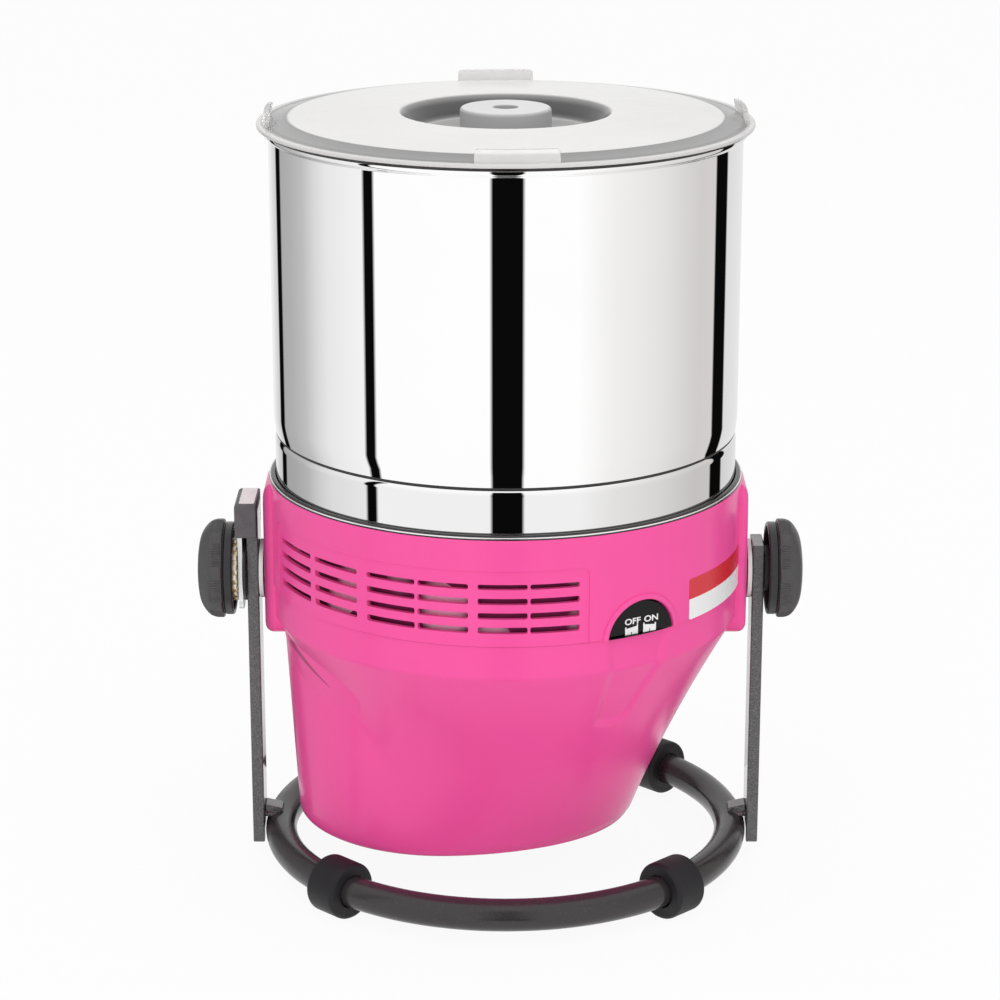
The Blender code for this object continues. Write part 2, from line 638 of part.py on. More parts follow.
def make_feet(stand, finishes):
    """Make the four rubber sleeves around the ring tube."""
    spread = FOOT_LENGTH / RING_RADIUS
    for name, middle in FOOT_ANGLES.items():
        bm = bmesh.new()
        loops = [[bm.verts.new((RING_RADIUS + across, 0, height)) for across, height in loop]
                 for loop in foot_section()]
        count = len(loops[0])
        faces = []
        for index in range(count):
            after = (index + 1) % count
            faces.append(bm.faces.new((loops[0][index], loops[0][after],
                                       loops[1][after], loops[1][index])))
        bmesh.ops.rotate(bm, verts=bm.verts, matrix=Matrix.Rotation(middle - spread / 2, 3, "Z"))
        geometry = [*bm.faces, *bm.edges, *bm.verts]
        bmesh.ops.spin(bm, geom=geometry, cent=(0, 0, 0), axis=(0, 0, 1), angle=spread,
                       steps=FOOT_STEPS)
        finish(name, bm, stand, finishes["rubber"], at=(0, 0, RING_HEIGHT))


def make_uprights(stand, finishes):
    """Make the two flat bars, their weld tabs and the hole for each pivot bolt."""
    tops = {LEFT: CAP_TOP - CAP_ROOF - FIT, RIGHT: PIVOT_HEIGHT + RIGHT_BAR_RISE}
    for side, name in SIDE_NAMES.items():
        inner, outer = sorted((side * BAR_INNER, side * BAR_OUTER))
        bar = box("upright_" + name, (inner, -BAR_HALF_WIDTH, BAR_FOOT),
                  (outer, BAR_HALF_WIDTH, tops[side]), stand, finishes["frame"])
        hole = rod("upright_hole_" + name, BOLT_RADIUS + FIT, BAR_INNER - OVERRUN, BAR_OUTER + OVERRUN,
                   SMALL_SEGMENTS, stand, None, at=(0, 0, PIVOT_HEIGHT), turn=ALONG_X[side])
        cut(bar, hide_cutter(hole))
        seat = RING_HEIGHT + TUBE_RADIUS + FIT
        root, tip = BAR_INNER - FIT, BAR_INNER - TAB_REACH
        outline = [(root, seat), (root, seat + TAB_ROOT), (tip, seat + TAB_TIP), (tip, seat)]
        outline = [(side * x, z) for x, z in outline]
        extruded("weld_tab_" + name, outline, -TAB_HALF_WIDTH, TAB_HALF_WIDTH, stand,
                 finishes["frame"], turn=(QUARTER, 0, 0))
    tube("thrust_washer", BOLT_RADIUS + FIT, THRUST_WASHER_RADIUS, BAR_OUTER + FIT, PLATE_INNER - FIT,
         SMALL_SEGMENTS, stand, finishes["black"], at=(0, 0, PIVOT_HEIGHT), turn=ALONG_X[LEFT])


def make_lock(slider, finishes):
    """Make the sliding cap and the plate whose tooth stops the tilt at both ends."""
    cap_outer = PLATE_OUTER + CAP_SIDE
    cap = box("lock_cap", (-cap_outer, -CAP_HALF_WIDTH, CAP_BOTTOM),
              (-BAR_INNER - FIT, CAP_HALF_WIDTH, CAP_TOP), slider, finishes["black"])
    bar_slot = box("cap_bar_slot", (-BAR_OUTER - FIT, -BAR_HALF_WIDTH - FIT, CAP_BOTTOM - OVERRUN),
                   (-BAR_INNER + OVERRUN, BAR_HALF_WIDTH + FIT, CAP_TOP - CAP_ROOF), slider, None)
    plate_top = CAP_TOP - CAP_ROOF
    plate_slot = box("cap_plate_slot",
                     (-PLATE_OUTER - FIT, -LOCK_PLATE_HALF_WIDTH - FIT, CAP_BOTTOM - OVERRUN),
                     (-PLATE_INNER + FIT, LOCK_PLATE_HALF_WIDTH + FIT, plate_top), slider, None)
    cut(cap, hide_cutter(bar_slot), hide_cutter(plate_slot))

    plate = box("lock_plate", (-PLATE_OUTER, -LOCK_PLATE_HALF_WIDTH, PIVOT_HEIGHT - LOCK_PLATE_DROP),
                (-PLATE_INNER, LOCK_PLATE_HALF_WIDTH, plate_top - FIT), slider, finishes["zinc"])
    bore = BOLT_RADIUS + FIT
    outline = arc_points((0, 0), bore, 0, math.pi, SMALL_SEGMENTS // 2)
    outline += arc_points((0, -LOCK_TRAVEL), bore, math.pi, FULL, SMALL_SEGMENTS // 2)
    slot = extruded("lock_plate_slot", outline, PLATE_INNER - OVERRUN, PLATE_OUTER + OVERRUN, slider,
                    None, at=(0, 0, PIVOT_HEIGHT), turn=FACING_X[LEFT])
    tooth = box("lock_plate_tooth", (-DISC_OUTER, -TOOTH_HALF_WIDTH, PIVOT_HEIGHT + TOOTH_LOW),
                (-PLATE_INNER - LOCK_PLATE / 2, TOOTH_HALF_WIDTH, PIVOT_HEIGHT + TOOTH_HIGH),
                slider, None)
    join(plate, hide_cutter(tooth))
    cut(plate, hide_cutter(slot))


def make_index_disc(housing, finishes):
    """Make the toothed disc, with the long recess that lets the tooth pass over the tilt's range."""
    outline = toothed_outline(DISC_TEETH, DISC_RADIUS, DISC_RADIUS - DISC_TOOTH)
    disc = extruded("index_disc", outline, DISC_INNER, DISC_OUTER, housing, finishes["brass"],
                    at=(0, 0, PIVOT_HEIGHT), turn=FACING_X[LEFT])
    hole = rod("index_disc_hole", BOLT_RADIUS + FIT, DISC_INNER - OVERRUN, DISC_OUTER + OVERRUN,
               SMALL_SEGMENTS, housing, None, at=(0, 0, PIVOT_HEIGHT), turn=ALONG_X[LEFT])
    floor = DISC_RADIUS - DISC_RECESS
    margin = math.asin((TOOTH_HALF_WIDTH + FIT) / floor)
    bm = bmesh.new()
    sector_bmesh(bm, floor, DISC_RADIUS + OVERRUN, DISC_INNER - OVERRUN, DISC_OUTER + OVERRUN,
                 QUARTER - margin, QUARTER + TILT_RANGE + margin, MEDIUM_SEGMENTS // 2)
    recess = finish("index_disc_recess", bm, housing, None, at=(0, 0, PIVOT_HEIGHT),
                    turn=FACING_X[LEFT])
    cut(disc, hide_cutter(hole), hide_cutter(recess))


def knob_outline(hub_face):
    """Return a knob's outline from the flange's back outwards, with its hub face at a given height."""
    groove = KNOB_FLANGE_RADIUS - KNOB_GROOVE_DEPTH
    band_low = KNOB_FLANGE + KNOB_GROOVE
    band_high = band_low + KNOB_BAND
    crown = KNOB_RADIUS * KNOB_CROWN_SHARE
    dome = []
    for index in range(KNOB_STEPS + 1):
        angle = QUARTER * index / KNOB_STEPS
        dome.append((crown + (KNOB_RADIUS - crown) * math.cos(angle),
                     band_high + (KNOB_LENGTH - band_high) * math.sin(angle)))
    bore = BOLT_RADIUS + FIT
    bore_end = hub_face + BOLT_GRIP + FIT
    outline = [(0, bore_end), (bore, bore_end), (bore, hub_face), (KNOB_HUB_RADIUS, hub_face),
               (KNOB_HUB_RADIUS, KNOB_DISH), (KNOB_DISH_RADIUS, KNOB_DISH), (KNOB_DISH_RADIUS, 0),
               (KNOB_FLANGE_RADIUS, 0), (KNOB_FLANGE_RADIUS, KNOB_FLANGE), (groove, KNOB_FLANGE),
               (groove, band_low), (KNOB_RADIUS, band_low)]
    return outline + dome + [(0, KNOB_LENGTH)]


def make_pivots(housing, knobs, finishes):
    """Make the pivot bolts, the washers at the ears and the two clamping knobs."""
    backs = {LEFT: LEFT_KNOB_BACK, RIGHT: RIGHT_KNOB_BACK}
    hub_faces = {LEFT: LEFT_DISH_DEPTH, RIGHT: -RIGHT_HUB_PROUD}
    for side, name in SIDE_NAMES.items():
        end = backs[side] + hub_faces[side] + BOLT_GRIP
        bolt = [(0, BOLT_HEAD_OUTER - BOLT_HEAD), (BOLT_HEAD_RADIUS, BOLT_HEAD_OUTER - BOLT_HEAD),
                (BOLT_HEAD_RADIUS, BOLT_HEAD_OUTER), (BOLT_RADIUS, BOLT_HEAD_OUTER), (BOLT_RADIUS, end),
                (0, end)]
        turned("pivot_bolt_" + name, bolt, SMALL_SEGMENTS, housing, finishes["zinc"],
               at=(0, 0, PIVOT_HEIGHT), turn=ALONG_X[side])
        tube("ear_washer_" + name, BOLT_RADIUS + FIT, WASHER_RADIUS, EAR_FACE + FIT, BAR_INNER - FIT,
             SMALL_SEGMENTS, housing, finishes["nylon"], at=(0, 0, PIVOT_HEIGHT), turn=ALONG_X[side])
        turned("knob_" + name, knob_outline(hub_faces[side]), MEDIUM_SEGMENTS, knobs[side],
               finishes["black"], at=(side * backs[side], 0, PIVOT_HEIGHT), turn=ALONG_X[side])


def make_ear(side, housing):
    """Make one flat-faced pod that the collar bulges out to at the tilt axis."""
    outline = rounded_outline(EAR_HALF_WIDTH, -EAR_DROP, EAR_RISE, EAR_CORNER, CORNER_STEPS)
    bm = bmesh.new()
    face = bm.faces.new([bm.verts.new((x, y, EAR_FACE - EAR_ROOT)) for x, y in outline])
    front = raise_faces(bm, [face], EAR_ROOT - EAR_EDGE)
    bmesh.ops.inset_region(bm, faces=front, thickness=EAR_EDGE, depth=0)
    bmesh.ops.translate(bm, vec=(0, 0, EAR_EDGE), verts=front[0].verts)
    return finish("ear_form_" + SIDE_NAMES[side], bm, housing, None, at=(0, 0, PIVOT_HEIGHT),
                  turn=FACING_X[side])


def make_vents(housing):
    """Make the cutter of all the vent slots."""
    bm = bmesh.new()
    inner = COLLAR_RADIUS - COLLAR_WALL - OVERRUN
    outer = COLLAR_RADIUS + OVERRUN
    for row in range(VENT_ROWS):
        middle = COLLAR_TOP - VENT_FIRST_DROP - row * VENT_PITCH
        for start, end in VENT_COLUMNS_DEGREES:
            sector_bmesh(bm, inner, outer, middle - VENT_HEIGHT / 2, middle + VENT_HEIGHT / 2,
                         from_front(math.radians(start)), from_front(math.radians(end)), 1)
    return hide_cutter(finish("vent_slots", bm, housing, None))


def half_moon(radius, base):
    """Return the switch's outline around its centre: a round top over a flat base."""
    low = math.asin(base / radius)
    return arc_points((0, 0), radius, low, math.pi - low, ROCKER_STEPS)


def make_upper_housing(housing, finishes):
    """Make the collar with its ears, vents, switch window and bolt holes."""
    lip = COLLAR_RADIUS + COLLAR_LIP_PROUD
    outline = [(0, COLLAR_BOTTOM), (COLLAR_RADIUS, COLLAR_BOTTOM),
               (COLLAR_RADIUS, COLLAR_TOP - COLLAR_LIP - COLLAR_LIP_PROUD),
               (lip, COLLAR_TOP - COLLAR_LIP), (lip, COLLAR_TOP - COLLAR_LIP_PROUD),
               (COLLAR_RADIUS, COLLAR_TOP), (0, COLLAR_TOP)]
    upper = turned("upper_housing", outline, LARGE_SEGMENTS, housing, finishes["housing"])
    join(upper, *[hide_cutter(make_ear(side, housing)) for side in SIDE_NAMES])
    cavity = rod("collar_cavity", COLLAR_RADIUS - COLLAR_WALL, HOUSING_BOTTOM, COLLAR_TOP + OVERRUN,
                 LARGE_SEGMENTS, housing, None)
    heights = [*steps_between(HOUSING_BOTTOM, KNEE_HEIGHT, SKIRT_STEPS), SEAM_HEIGHT]
    rings = [form_ring(height, FIT) for height in heights]
    rings.append(form_ring(SEAM_HEIGHT, FIT, COLLAR_BOTTOM + SEAM_REBATE))
    clearance = lofted("seam_clearance", rings, False, housing, None)
    cut(upper, hide_cutter(clearance), hide_cutter(cavity))

    outline = half_moon(SWITCH_RADIUS + SWITCH_SIDE_GAP, 0)
    outline += [(-SWITCH_RADIUS - SWITCH_SIDE_GAP, -OVERRUN), (SWITCH_RADIUS + SWITCH_SIDE_GAP, -OVERRUN)]
    window = extruded("switch_window", outline, COLLAR_RADIUS - 2 * COLLAR_WALL,
                      COLLAR_RADIUS + OVERRUN, housing, None,
                      at=(0, 0, SEAM_HEIGHT - SWITCH_CENTRE_DROP), turn=(QUARTER, 0, SWITCH_AZIMUTH))
    cut(upper, hide_cutter(window))
    return upper


def make_lower_housing(housing, finishes):
    """Make the lower shell: the skirt under the drum joined to the motor tub, open below."""
    ledge = CHASSIS_BOTTOM - FIT
    limit = CHASSIS_RADIUS - CHASSIS_LEDGE
    rounded = BOTTOM_ROUND * (1 - math.cos(QUARTER / 2))
    rings = [form_ring(HOUSING_BOTTOM, -BOTTOM_ROUND),
             form_ring(HOUSING_BOTTOM, -rounded, HOUSING_BOTTOM + rounded)]
    rings += [form_ring(height, 0)
              for height in steps_between(HOUSING_BOTTOM + BOTTOM_ROUND, KNEE_HEIGHT, SKIRT_STEPS)]
    rings.append(form_ring(SEAM_HEIGHT, 0))
    rings.append(form_ring(SEAM_HEIGHT, -LOWER_WALL))
    rings.append(form_ring(SEAM_HEIGHT, -LOWER_WALL, ledge))
    rings += [form_ring(height, -LOWER_WALL, limit=limit)
              for height in steps_between(ledge, LIP_TOP, INNER_STEPS)]
    rings.append(form_ring(HOUSING_BOTTOM, -LIP_WIDTH, LIP_TOP))
    rings.append(form_ring(HOUSING_BOTTOM, -LIP_WIDTH, LIP_BOTTOM))
    rings.append(form_ring(HOUSING_BOTTOM, -LOWER_WALL, LIP_BOTTOM))
    rings.append(form_ring(HOUSING_BOTTOM, -LOWER_WALL))
    return lofted("lower_housing", rings, True, housing, finishes["housing"])


def screw_places():
    """Return where the bottom cover's screws stand, in the middle of the shell's lip."""
    inset = (LOWER_WALL + LIP_WIDTH) / 2
    places = []
    for degrees in SCREW_AZIMUTHS_DEGREES:
        angle = math.radians(degrees)
        radius = form_radius(angle, HOUSING_BOTTOM, -inset)
        places.append((radius * math.cos(angle), radius * math.sin(angle)))
    return places


def make_bottom_cover(lower, housing, finishes):
    """Make the cover under the motor and its screws."""
    bottom = HOUSING_BOTTOM + COVER_RECESS
    rings = [form_ring(HOUSING_BOTTOM, -LOWER_WALL - FIT, level)
             for level in (bottom, bottom + COVER_THICKNESS)]
    cover = lofted("bottom_cover", rings, False, housing, finishes["black"])
    tip = LIP_TOP - SCREW_END_GAP
    head_top = bottom - FIT
    for number, (x, y) in enumerate(screw_places(), start=1):
        outline = [(0, head_top - SCREW_HEAD), (SCREW_HEAD_RADIUS, head_top - SCREW_HEAD),
                   (SCREW_HEAD_RADIUS, head_top), (SCREW_RADIUS, head_top), (SCREW_RADIUS, tip), (0, tip)]
        turned("cover_screw_%d" % number, outline, TINY_SEGMENTS, housing, finishes["zinc"],
               at=(x, y, 0))
        hole = rod("cover_screw_hole_%d" % number, SCREW_RADIUS + FIT, bottom - OVERRUN,
                   LIP_TOP + OVERRUN, TINY_SEGMENTS, housing, None, at=(x, y, 0))
        hide_cutter(hole)
        cut(cover, hole)
        cut(lower, hole)


def make_shell_holes(upper, lower, housing):
    """Cut both shells where the pivot bolts pass, and the vents in the collar."""
    for side, name in SIDE_NAMES.items():
        hole = rod("bolt_hole_" + name, BOLT_RADIUS + FIT, BOLT_HEAD_OUTER - BOLT_HEAD,
                   EAR_FACE + OVERRUN, SMALL_SEGMENTS, housing, None, at=(0, 0, PIVOT_HEIGHT),
                   turn=ALONG_X[side])
        hide_cutter(hole)
        cut(upper, hole)
        cut(lower, hole)
    cut(upper, make_vents(housing))


def make_gland(lower, housing, finishes):
    """Make the cord's gland in the back of the skirt."""
    height = HOUSING_BOTTOM + GLAND_RISE
    wall = form_radius(QUARTER, height, 0)
    seat = form_radius(QUARTER, height + GLAND_COLLAR_RADIUS, 0) + GLAND_SEAT_GAP
    outline = [(GLAND_BORE, wall - GLAND_ROOT), (GLAND_RADIUS, wall - GLAND_ROOT), (GLAND_RADIUS, seat),
               (GLAND_COLLAR_RADIUS, seat), (GLAND_COLLAR_RADIUS, seat + GLAND_COLLAR),
               (GLAND_RADIUS, seat + GLAND_COLLAR), (GLAND_RADIUS, seat + GLAND_PROUD),
               (GLAND_BORE, seat + GLAND_PROUD)]
    turn = (-QUARTER, math.pi / SMALL_SEGMENTS, 0)
    turned("cord_gland", outline, SMALL_SEGMENTS, housing, finishes["black"], at=(0, 0, height), turn=turn)
    hole = rod("cord_gland_hole", GLAND_RADIUS + FIT, wall - GLAND_ROOT - OVERRUN, seat + OVERRUN,
               SMALL_SEGMENTS, housing, None, at=(0, 0, height), turn=turn)
    cut(lower, hide_cutter(hole))


def make_chassis(housing, finishes):
    """Make the plate that carries the motor, the capacitor and the fixed spindle."""
    plate = rod("chassis_plate", CHASSIS_RADIUS, CHASSIS_BOTTOM, CHASSIS_TOP, LARGE_SEGMENTS, housing,
                finishes["zinc"])
    hole = rod("chassis_motor_hole", MOTOR_PULLEY_RADIUS + 2 * FIT, CHASSIS_BOTTOM - OVERRUN,
               CHASSIS_TOP + OVERRUN, SMALL_SEGMENTS, housing, None, at=(-MOTOR_OFFSET, 0, 0))
    cut(plate, hide_cutter(hole))
    outline = [(0, SPINDLE_BOTTOM), (SPINDLE_FLANGE_RADIUS, SPINDLE_BOTTOM),
               (SPINDLE_FLANGE_RADIUS, SPINDLE_BOTTOM + SPINDLE_FLANGE),
               (SPINDLE_RADIUS, SPINDLE_BOTTOM + SPINDLE_FLANGE), (SPINDLE_RADIUS, SPINDLE_TOP),
               (0, SPINDLE_TOP)]
    turned("drum_spindle", outline, SMALL_SEGMENTS, housing, finishes["steel"])
    rod("run_capacitor", CAPACITOR_RADIUS, CHASSIS_BOTTOM - FIT - CAPACITOR_LENGTH,
        CHASSIS_BOTTOM - FIT, MEDIUM_SEGMENTS, housing, finishes["aluminium"],
        at=(MOTOR_RADIUS + CAPACITOR_GAP + CAPACITOR_RADIUS - MOTOR_OFFSET, 0, 0))


def make_motor(housing, rotor, finishes):
    """Make the motor's casing, shaft, fan and small pulley."""
    axis = (-MOTOR_OFFSET, 0, 0)
    bore = MOTOR_SHAFT_RADIUS + FIT
    bell = MOTOR_RADIUS - MOTOR_STEP
    low, high = MOTOR_BOTTOM + MOTOR_BELL, MOTOR_TOP - MOTOR_BELL
    outline = [(bore, MOTOR_BOTTOM), (bell, MOTOR_BOTTOM), (bell, low), (MOTOR_RADIUS, low),
               (MOTOR_RADIUS, high), (bell, high), (bell, MOTOR_TOP), (bore, MOTOR_TOP)]
    turned("motor_casing", outline, MEDIUM_SEGMENTS, housing, finishes["iron"], at=axis)
    rod("motor_shaft", MOTOR_SHAFT_RADIUS, FAN_BOTTOM, PULLEY_TOP, SMALL_SEGMENTS, rotor,
        finishes["steel"], at=axis)
    fan = extruded("motor_fan", toothed_outline(FAN_BLADES, FAN_RADIUS, FAN_RADIUS * FAN_HUB_SHARE),
                   FAN_BOTTOM, FAN_TOP, rotor, finishes["nylon"], at=axis)
    fan_hole = rod("motor_fan_hole", bore, FAN_BOTTOM - OVERRUN, FAN_TOP + OVERRUN, SMALL_SEGMENTS,
                   rotor, None, at=axis)
    cut(fan, hide_cutter(fan_hole))
    tube("motor_pulley", bore, MOTOR_PULLEY_RADIUS, PULLEY_MIDDLE - PULLEY_RIM / 2,
         PULLEY_MIDDLE + PULLEY_RIM / 2, MEDIUM_SEGMENTS, rotor, finishes["aluminium"], at=axis)


def belt_loop(offset):
    """Return the belt's loop around both pulleys, grown outwards by an offset."""
    lean = math.acos((PULLEY_RADIUS - MOTOR_PULLEY_RADIUS) / MOTOR_OFFSET)
    wide = arc_points((0, 0), PULLEY_RADIUS + offset, math.pi + lean, 3 * math.pi - lean,
                      LARGE_SEGMENTS)
    tight = arc_points((-MOTOR_OFFSET, 0), MOTOR_PULLEY_RADIUS + offset, math.pi - lean, math.pi + lean,
                       SMALL_SEGMENTS // 2)
    return wide + tight


def make_belt(housing, finishes):
    """Make the drive belt."""
    half = PULLEY_RIM / 2 - BELT_MARGIN
    bm = ribbon_bmesh(belt_loop(FIT + BELT_THICKNESS), belt_loop(FIT), PULLEY_MIDDLE - half,
                      PULLEY_MIDDLE + half)
    finish("drive_belt", bm, housing, finishes["belt"])


def make_drum_drive(drum, finishes):
    """Make the driven pulley, its bushes and the plate that the drum sits on."""
    hub = TUBE_BORE + PULLEY_HUB_WALL
    rim_low, rim_high = PULLEY_MIDDLE - PULLEY_RIM / 2, PULLEY_MIDDLE + PULLEY_RIM / 2
    web_low, web_high = PULLEY_MIDDLE - PULLEY_WEB / 2, PULLEY_MIDDLE + PULLEY_WEB / 2
    rim = PULLEY_RADIUS - PULLEY_RIM_WALL
    outline = [(TUBE_BORE, PULLEY_BOTTOM), (hub, PULLEY_BOTTOM), (hub, web_low), (rim, web_low),
               (rim, rim_low), (PULLEY_RADIUS, rim_low), (PULLEY_RADIUS, rim_high), (rim, rim_high),
               (rim, web_high), (hub, web_high), (hub, PULLEY_TOP), (TUBE_BORE, PULLEY_TOP)]
    turned("drum_pulley", outline, MEDIUM_SEGMENTS, drum, finishes["aluminium"])
    bush_low = PULLEY_MIDDLE - BUSH_LENGTH / 2
    tube("lower_bush", BUSH_BORE, BUSH_RADIUS, bush_low, bush_low + BUSH_LENGTH, SMALL_SEGMENTS, drum,
         finishes["bronze"])
    tube("upper_bush", BUSH_BORE, BUSH_RADIUS, TUBE_TOP - BUSH_LENGTH, TUBE_TOP, SMALL_SEGMENTS, drum,
         finishes["bronze"])
    outer = BAND_RADIUS - DRIVE_PLATE_MARGIN
    inner = outer - DRIVE_PLATE_SHEET
    floor = DRIVE_BOTTOM + DRIVE_PLATE_SHEET
    top = DRIVE_BOTTOM + DRIVE_RIM
    outline = [(TUBE_BORE, DRIVE_BOTTOM), (outer - DRIVE_PLATE_SHEET, DRIVE_BOTTOM),
               (outer, DRIVE_BOTTOM + DRIVE_PLATE_SHEET), (outer, top), (inner, top), (inner, floor),
               (TUBE_BORE, floor)]
    turned("drive_plate", outline, LARGE_SEGMENTS, drum, finishes["aluminium"])
    tube("centre_tube", TUBE_BORE, TUBE_OUTER, floor + FIT, TUBE_TOP, MEDIUM_SEGMENTS, drum,
         finishes["steel"])


def make_drum_shell(drum, finishes):
    """Make the drum: the band inside the collar, the ledge roll, the wall and the rolled rim."""
    inner_wall = DRUM_RADIUS - DRUM_SHEET
    inner_band = BAND_RADIUS - DRUM_SHEET
    inner_floor = DRUM_BOTTOM + DRUM_SHEET
    ledge = DRUM_RADIUS + LEDGE_PROUD
    rim = DRUM_RADIUS + RIM_PROUD
    rim_low = RIM_TOP - 2 * RIM_ROLL
    rim_middle = RIM_TOP - RIM_ROLL
    corner = arc_points((BAND_RADIUS - DRUM_CORNER, DRUM_BOTTOM + DRUM_CORNER), DRUM_CORNER, -QUARTER,
                        0, CORNER_STEPS)
    inner_corner = arc_points((inner_band - DRUM_CORNER, inner_floor + DRUM_CORNER), DRUM_CORNER, 0,
                              -QUARTER, CORNER_STEPS)
    hole = TUBE_OUTER + FIT
    roll = arc_points((rim - RIM_ROLL, rim_middle), RIM_ROLL, -QUARTER, QUARTER, CORNER_STEPS)
    outline = [(hole, DRUM_BOTTOM), *corner, (BAND_RADIUS, LEDGE_HEIGHT - LEDGE_ROLL),
               (ledge, LEDGE_HEIGHT), (ledge, LEDGE_HEIGHT + LEDGE_ROLL),
               (DRUM_RADIUS, LEDGE_HEIGHT + 2 * LEDGE_ROLL), (DRUM_RADIUS, rim_low - RIM_THROAT), *roll,
               (DRUM_RADIUS, RIM_TOP), (inner_wall, RIM_TOP - DRUM_SHEET),
               (inner_wall, LEDGE_HEIGHT + LEDGE_ROLL), (inner_band, LEDGE_HEIGHT - LEDGE_ROLL),
               *inner_corner, (hole, inner_floor)]
    turned("drum_shell", outline, LARGE_SEGMENTS, drum, finishes["steel"])


def make_base_stone(drum, finishes):
    """Make the granite disc in the bottom of the drum."""
    edge = ROLLER_EDGE
    bore = TUBE_OUTER + FIT
    outline = [(bore, BASE_STONE_BOTTOM), (BASE_STONE_RADIUS, BASE_STONE_BOTTOM),
               (BASE_STONE_RADIUS, GRINDING_PLANE - edge), (BASE_STONE_RADIUS - edge, GRINDING_PLANE),
               (bore, GRINDING_PLANE)]
    turned("base_stone", outline, LARGE_SEGMENTS, drum, finishes["granite"])


def roller_angles():
    """Return the angle of each roller around the drum's axis, the first one to the back."""
    return [QUARTER + FULL * index / ROLLER_COUNT for index in range(ROLLER_COUNT)]


def make_rollers(housing, rollers, finishes):
    """Make the conical stones with their bushes, and the headed axles that carry them."""
    spread = math.tan(ROLLER_ANGLE)
    small, large = ROLLER_INNER * spread, ROLLER_OUTER * spread
    axle_start = (HOLDER_CAVITY + FIT + AXLE_RADIUS * math.sin(ROLLER_ANGLE)) / math.cos(ROLLER_ANGLE)
    head = ROLLER_OUTER + FIT
    for number, angle in enumerate(roller_angles(), start=1):
        turn = (0, QUARTER - ROLLER_ANGLE, angle)
        body = rollers[number]
        at = (0, 0, APEX_HEIGHT)
        stone = [(ROLLER_BORE, ROLLER_INNER), (small, ROLLER_INNER),
                 (large - ROLLER_EDGE * spread, ROLLER_OUTER - ROLLER_EDGE),
                 (large - ROLLER_EDGE, ROLLER_OUTER), (ROLLER_BORE, ROLLER_OUTER)]
        turned("roller_stone_%d" % number, stone, MEDIUM_SEGMENTS, body, finishes["granite"], at, turn)
        tube("roller_bush_%d" % number, AXLE_RADIUS + FIT, ROLLER_BORE - FIT, ROLLER_INNER,
             ROLLER_OUTER, SMALL_SEGMENTS, body, finishes["nylon"], at, turn)
        axle = [(0, axle_start), (AXLE_RADIUS, axle_start), (AXLE_RADIUS, head),
                (AXLE_HEAD_RADIUS, head), (AXLE_HEAD_RADIUS, head + AXLE_HEAD), (0, head + AXLE_HEAD)]
        turned("roller_axle_%d" % number, axle, SMALL_SEGMENTS, housing, finishes["steel"], at, turn)


def make_holder(housing, finishes):
    """Make the bell-shaped holder of the roller axles and the nut that keeps it on the spindle."""
    bore = SPINDLE_RADIUS + FIT
    outline = [(bore, CAVITY_TOP), (HOLDER_CAVITY, CAVITY_TOP), (HOLDER_CAVITY, HOLDER_BOTTOM),
               (HOLDER_RADIUS, HOLDER_BOTTOM), (HOLDER_RADIUS, HOLDER_TOP - HOLDER_EDGE),
               (HOLDER_RADIUS - HOLDER_EDGE, HOLDER_TOP), (bore, HOLDER_TOP)]
    holder = turned("stone_holder", outline, MEDIUM_SEGMENTS, housing, finishes["nylon"])
    for number, angle in enumerate(roller_angles(), start=1):
        hole = rod("holder_hole_%d" % number, AXLE_RADIUS + FIT, HOLDER_CAVITY / 2, ROLLER_INNER,
                   SMALL_SEGMENTS, housing, None, at=(0, 0, APEX_HEIGHT),
                   turn=(0, QUARTER - ROLLER_ANGLE, angle))
        cut(holder, hide_cutter(hole))
    top = NUT_BOTTOM + NUT_HEIGHT
    outline = [(0, top - NUT_ROOF), (bore, top - NUT_ROOF), (bore, NUT_BOTTOM), (NUT_RADIUS, NUT_BOTTOM),
               (NUT_RADIUS, top - HOLDER_EDGE), (NUT_RADIUS - HOLDER_EDGE, top), (0, top)]
    turned("holder_nut", outline, MEDIUM_SEGMENTS, housing, finishes["black"])


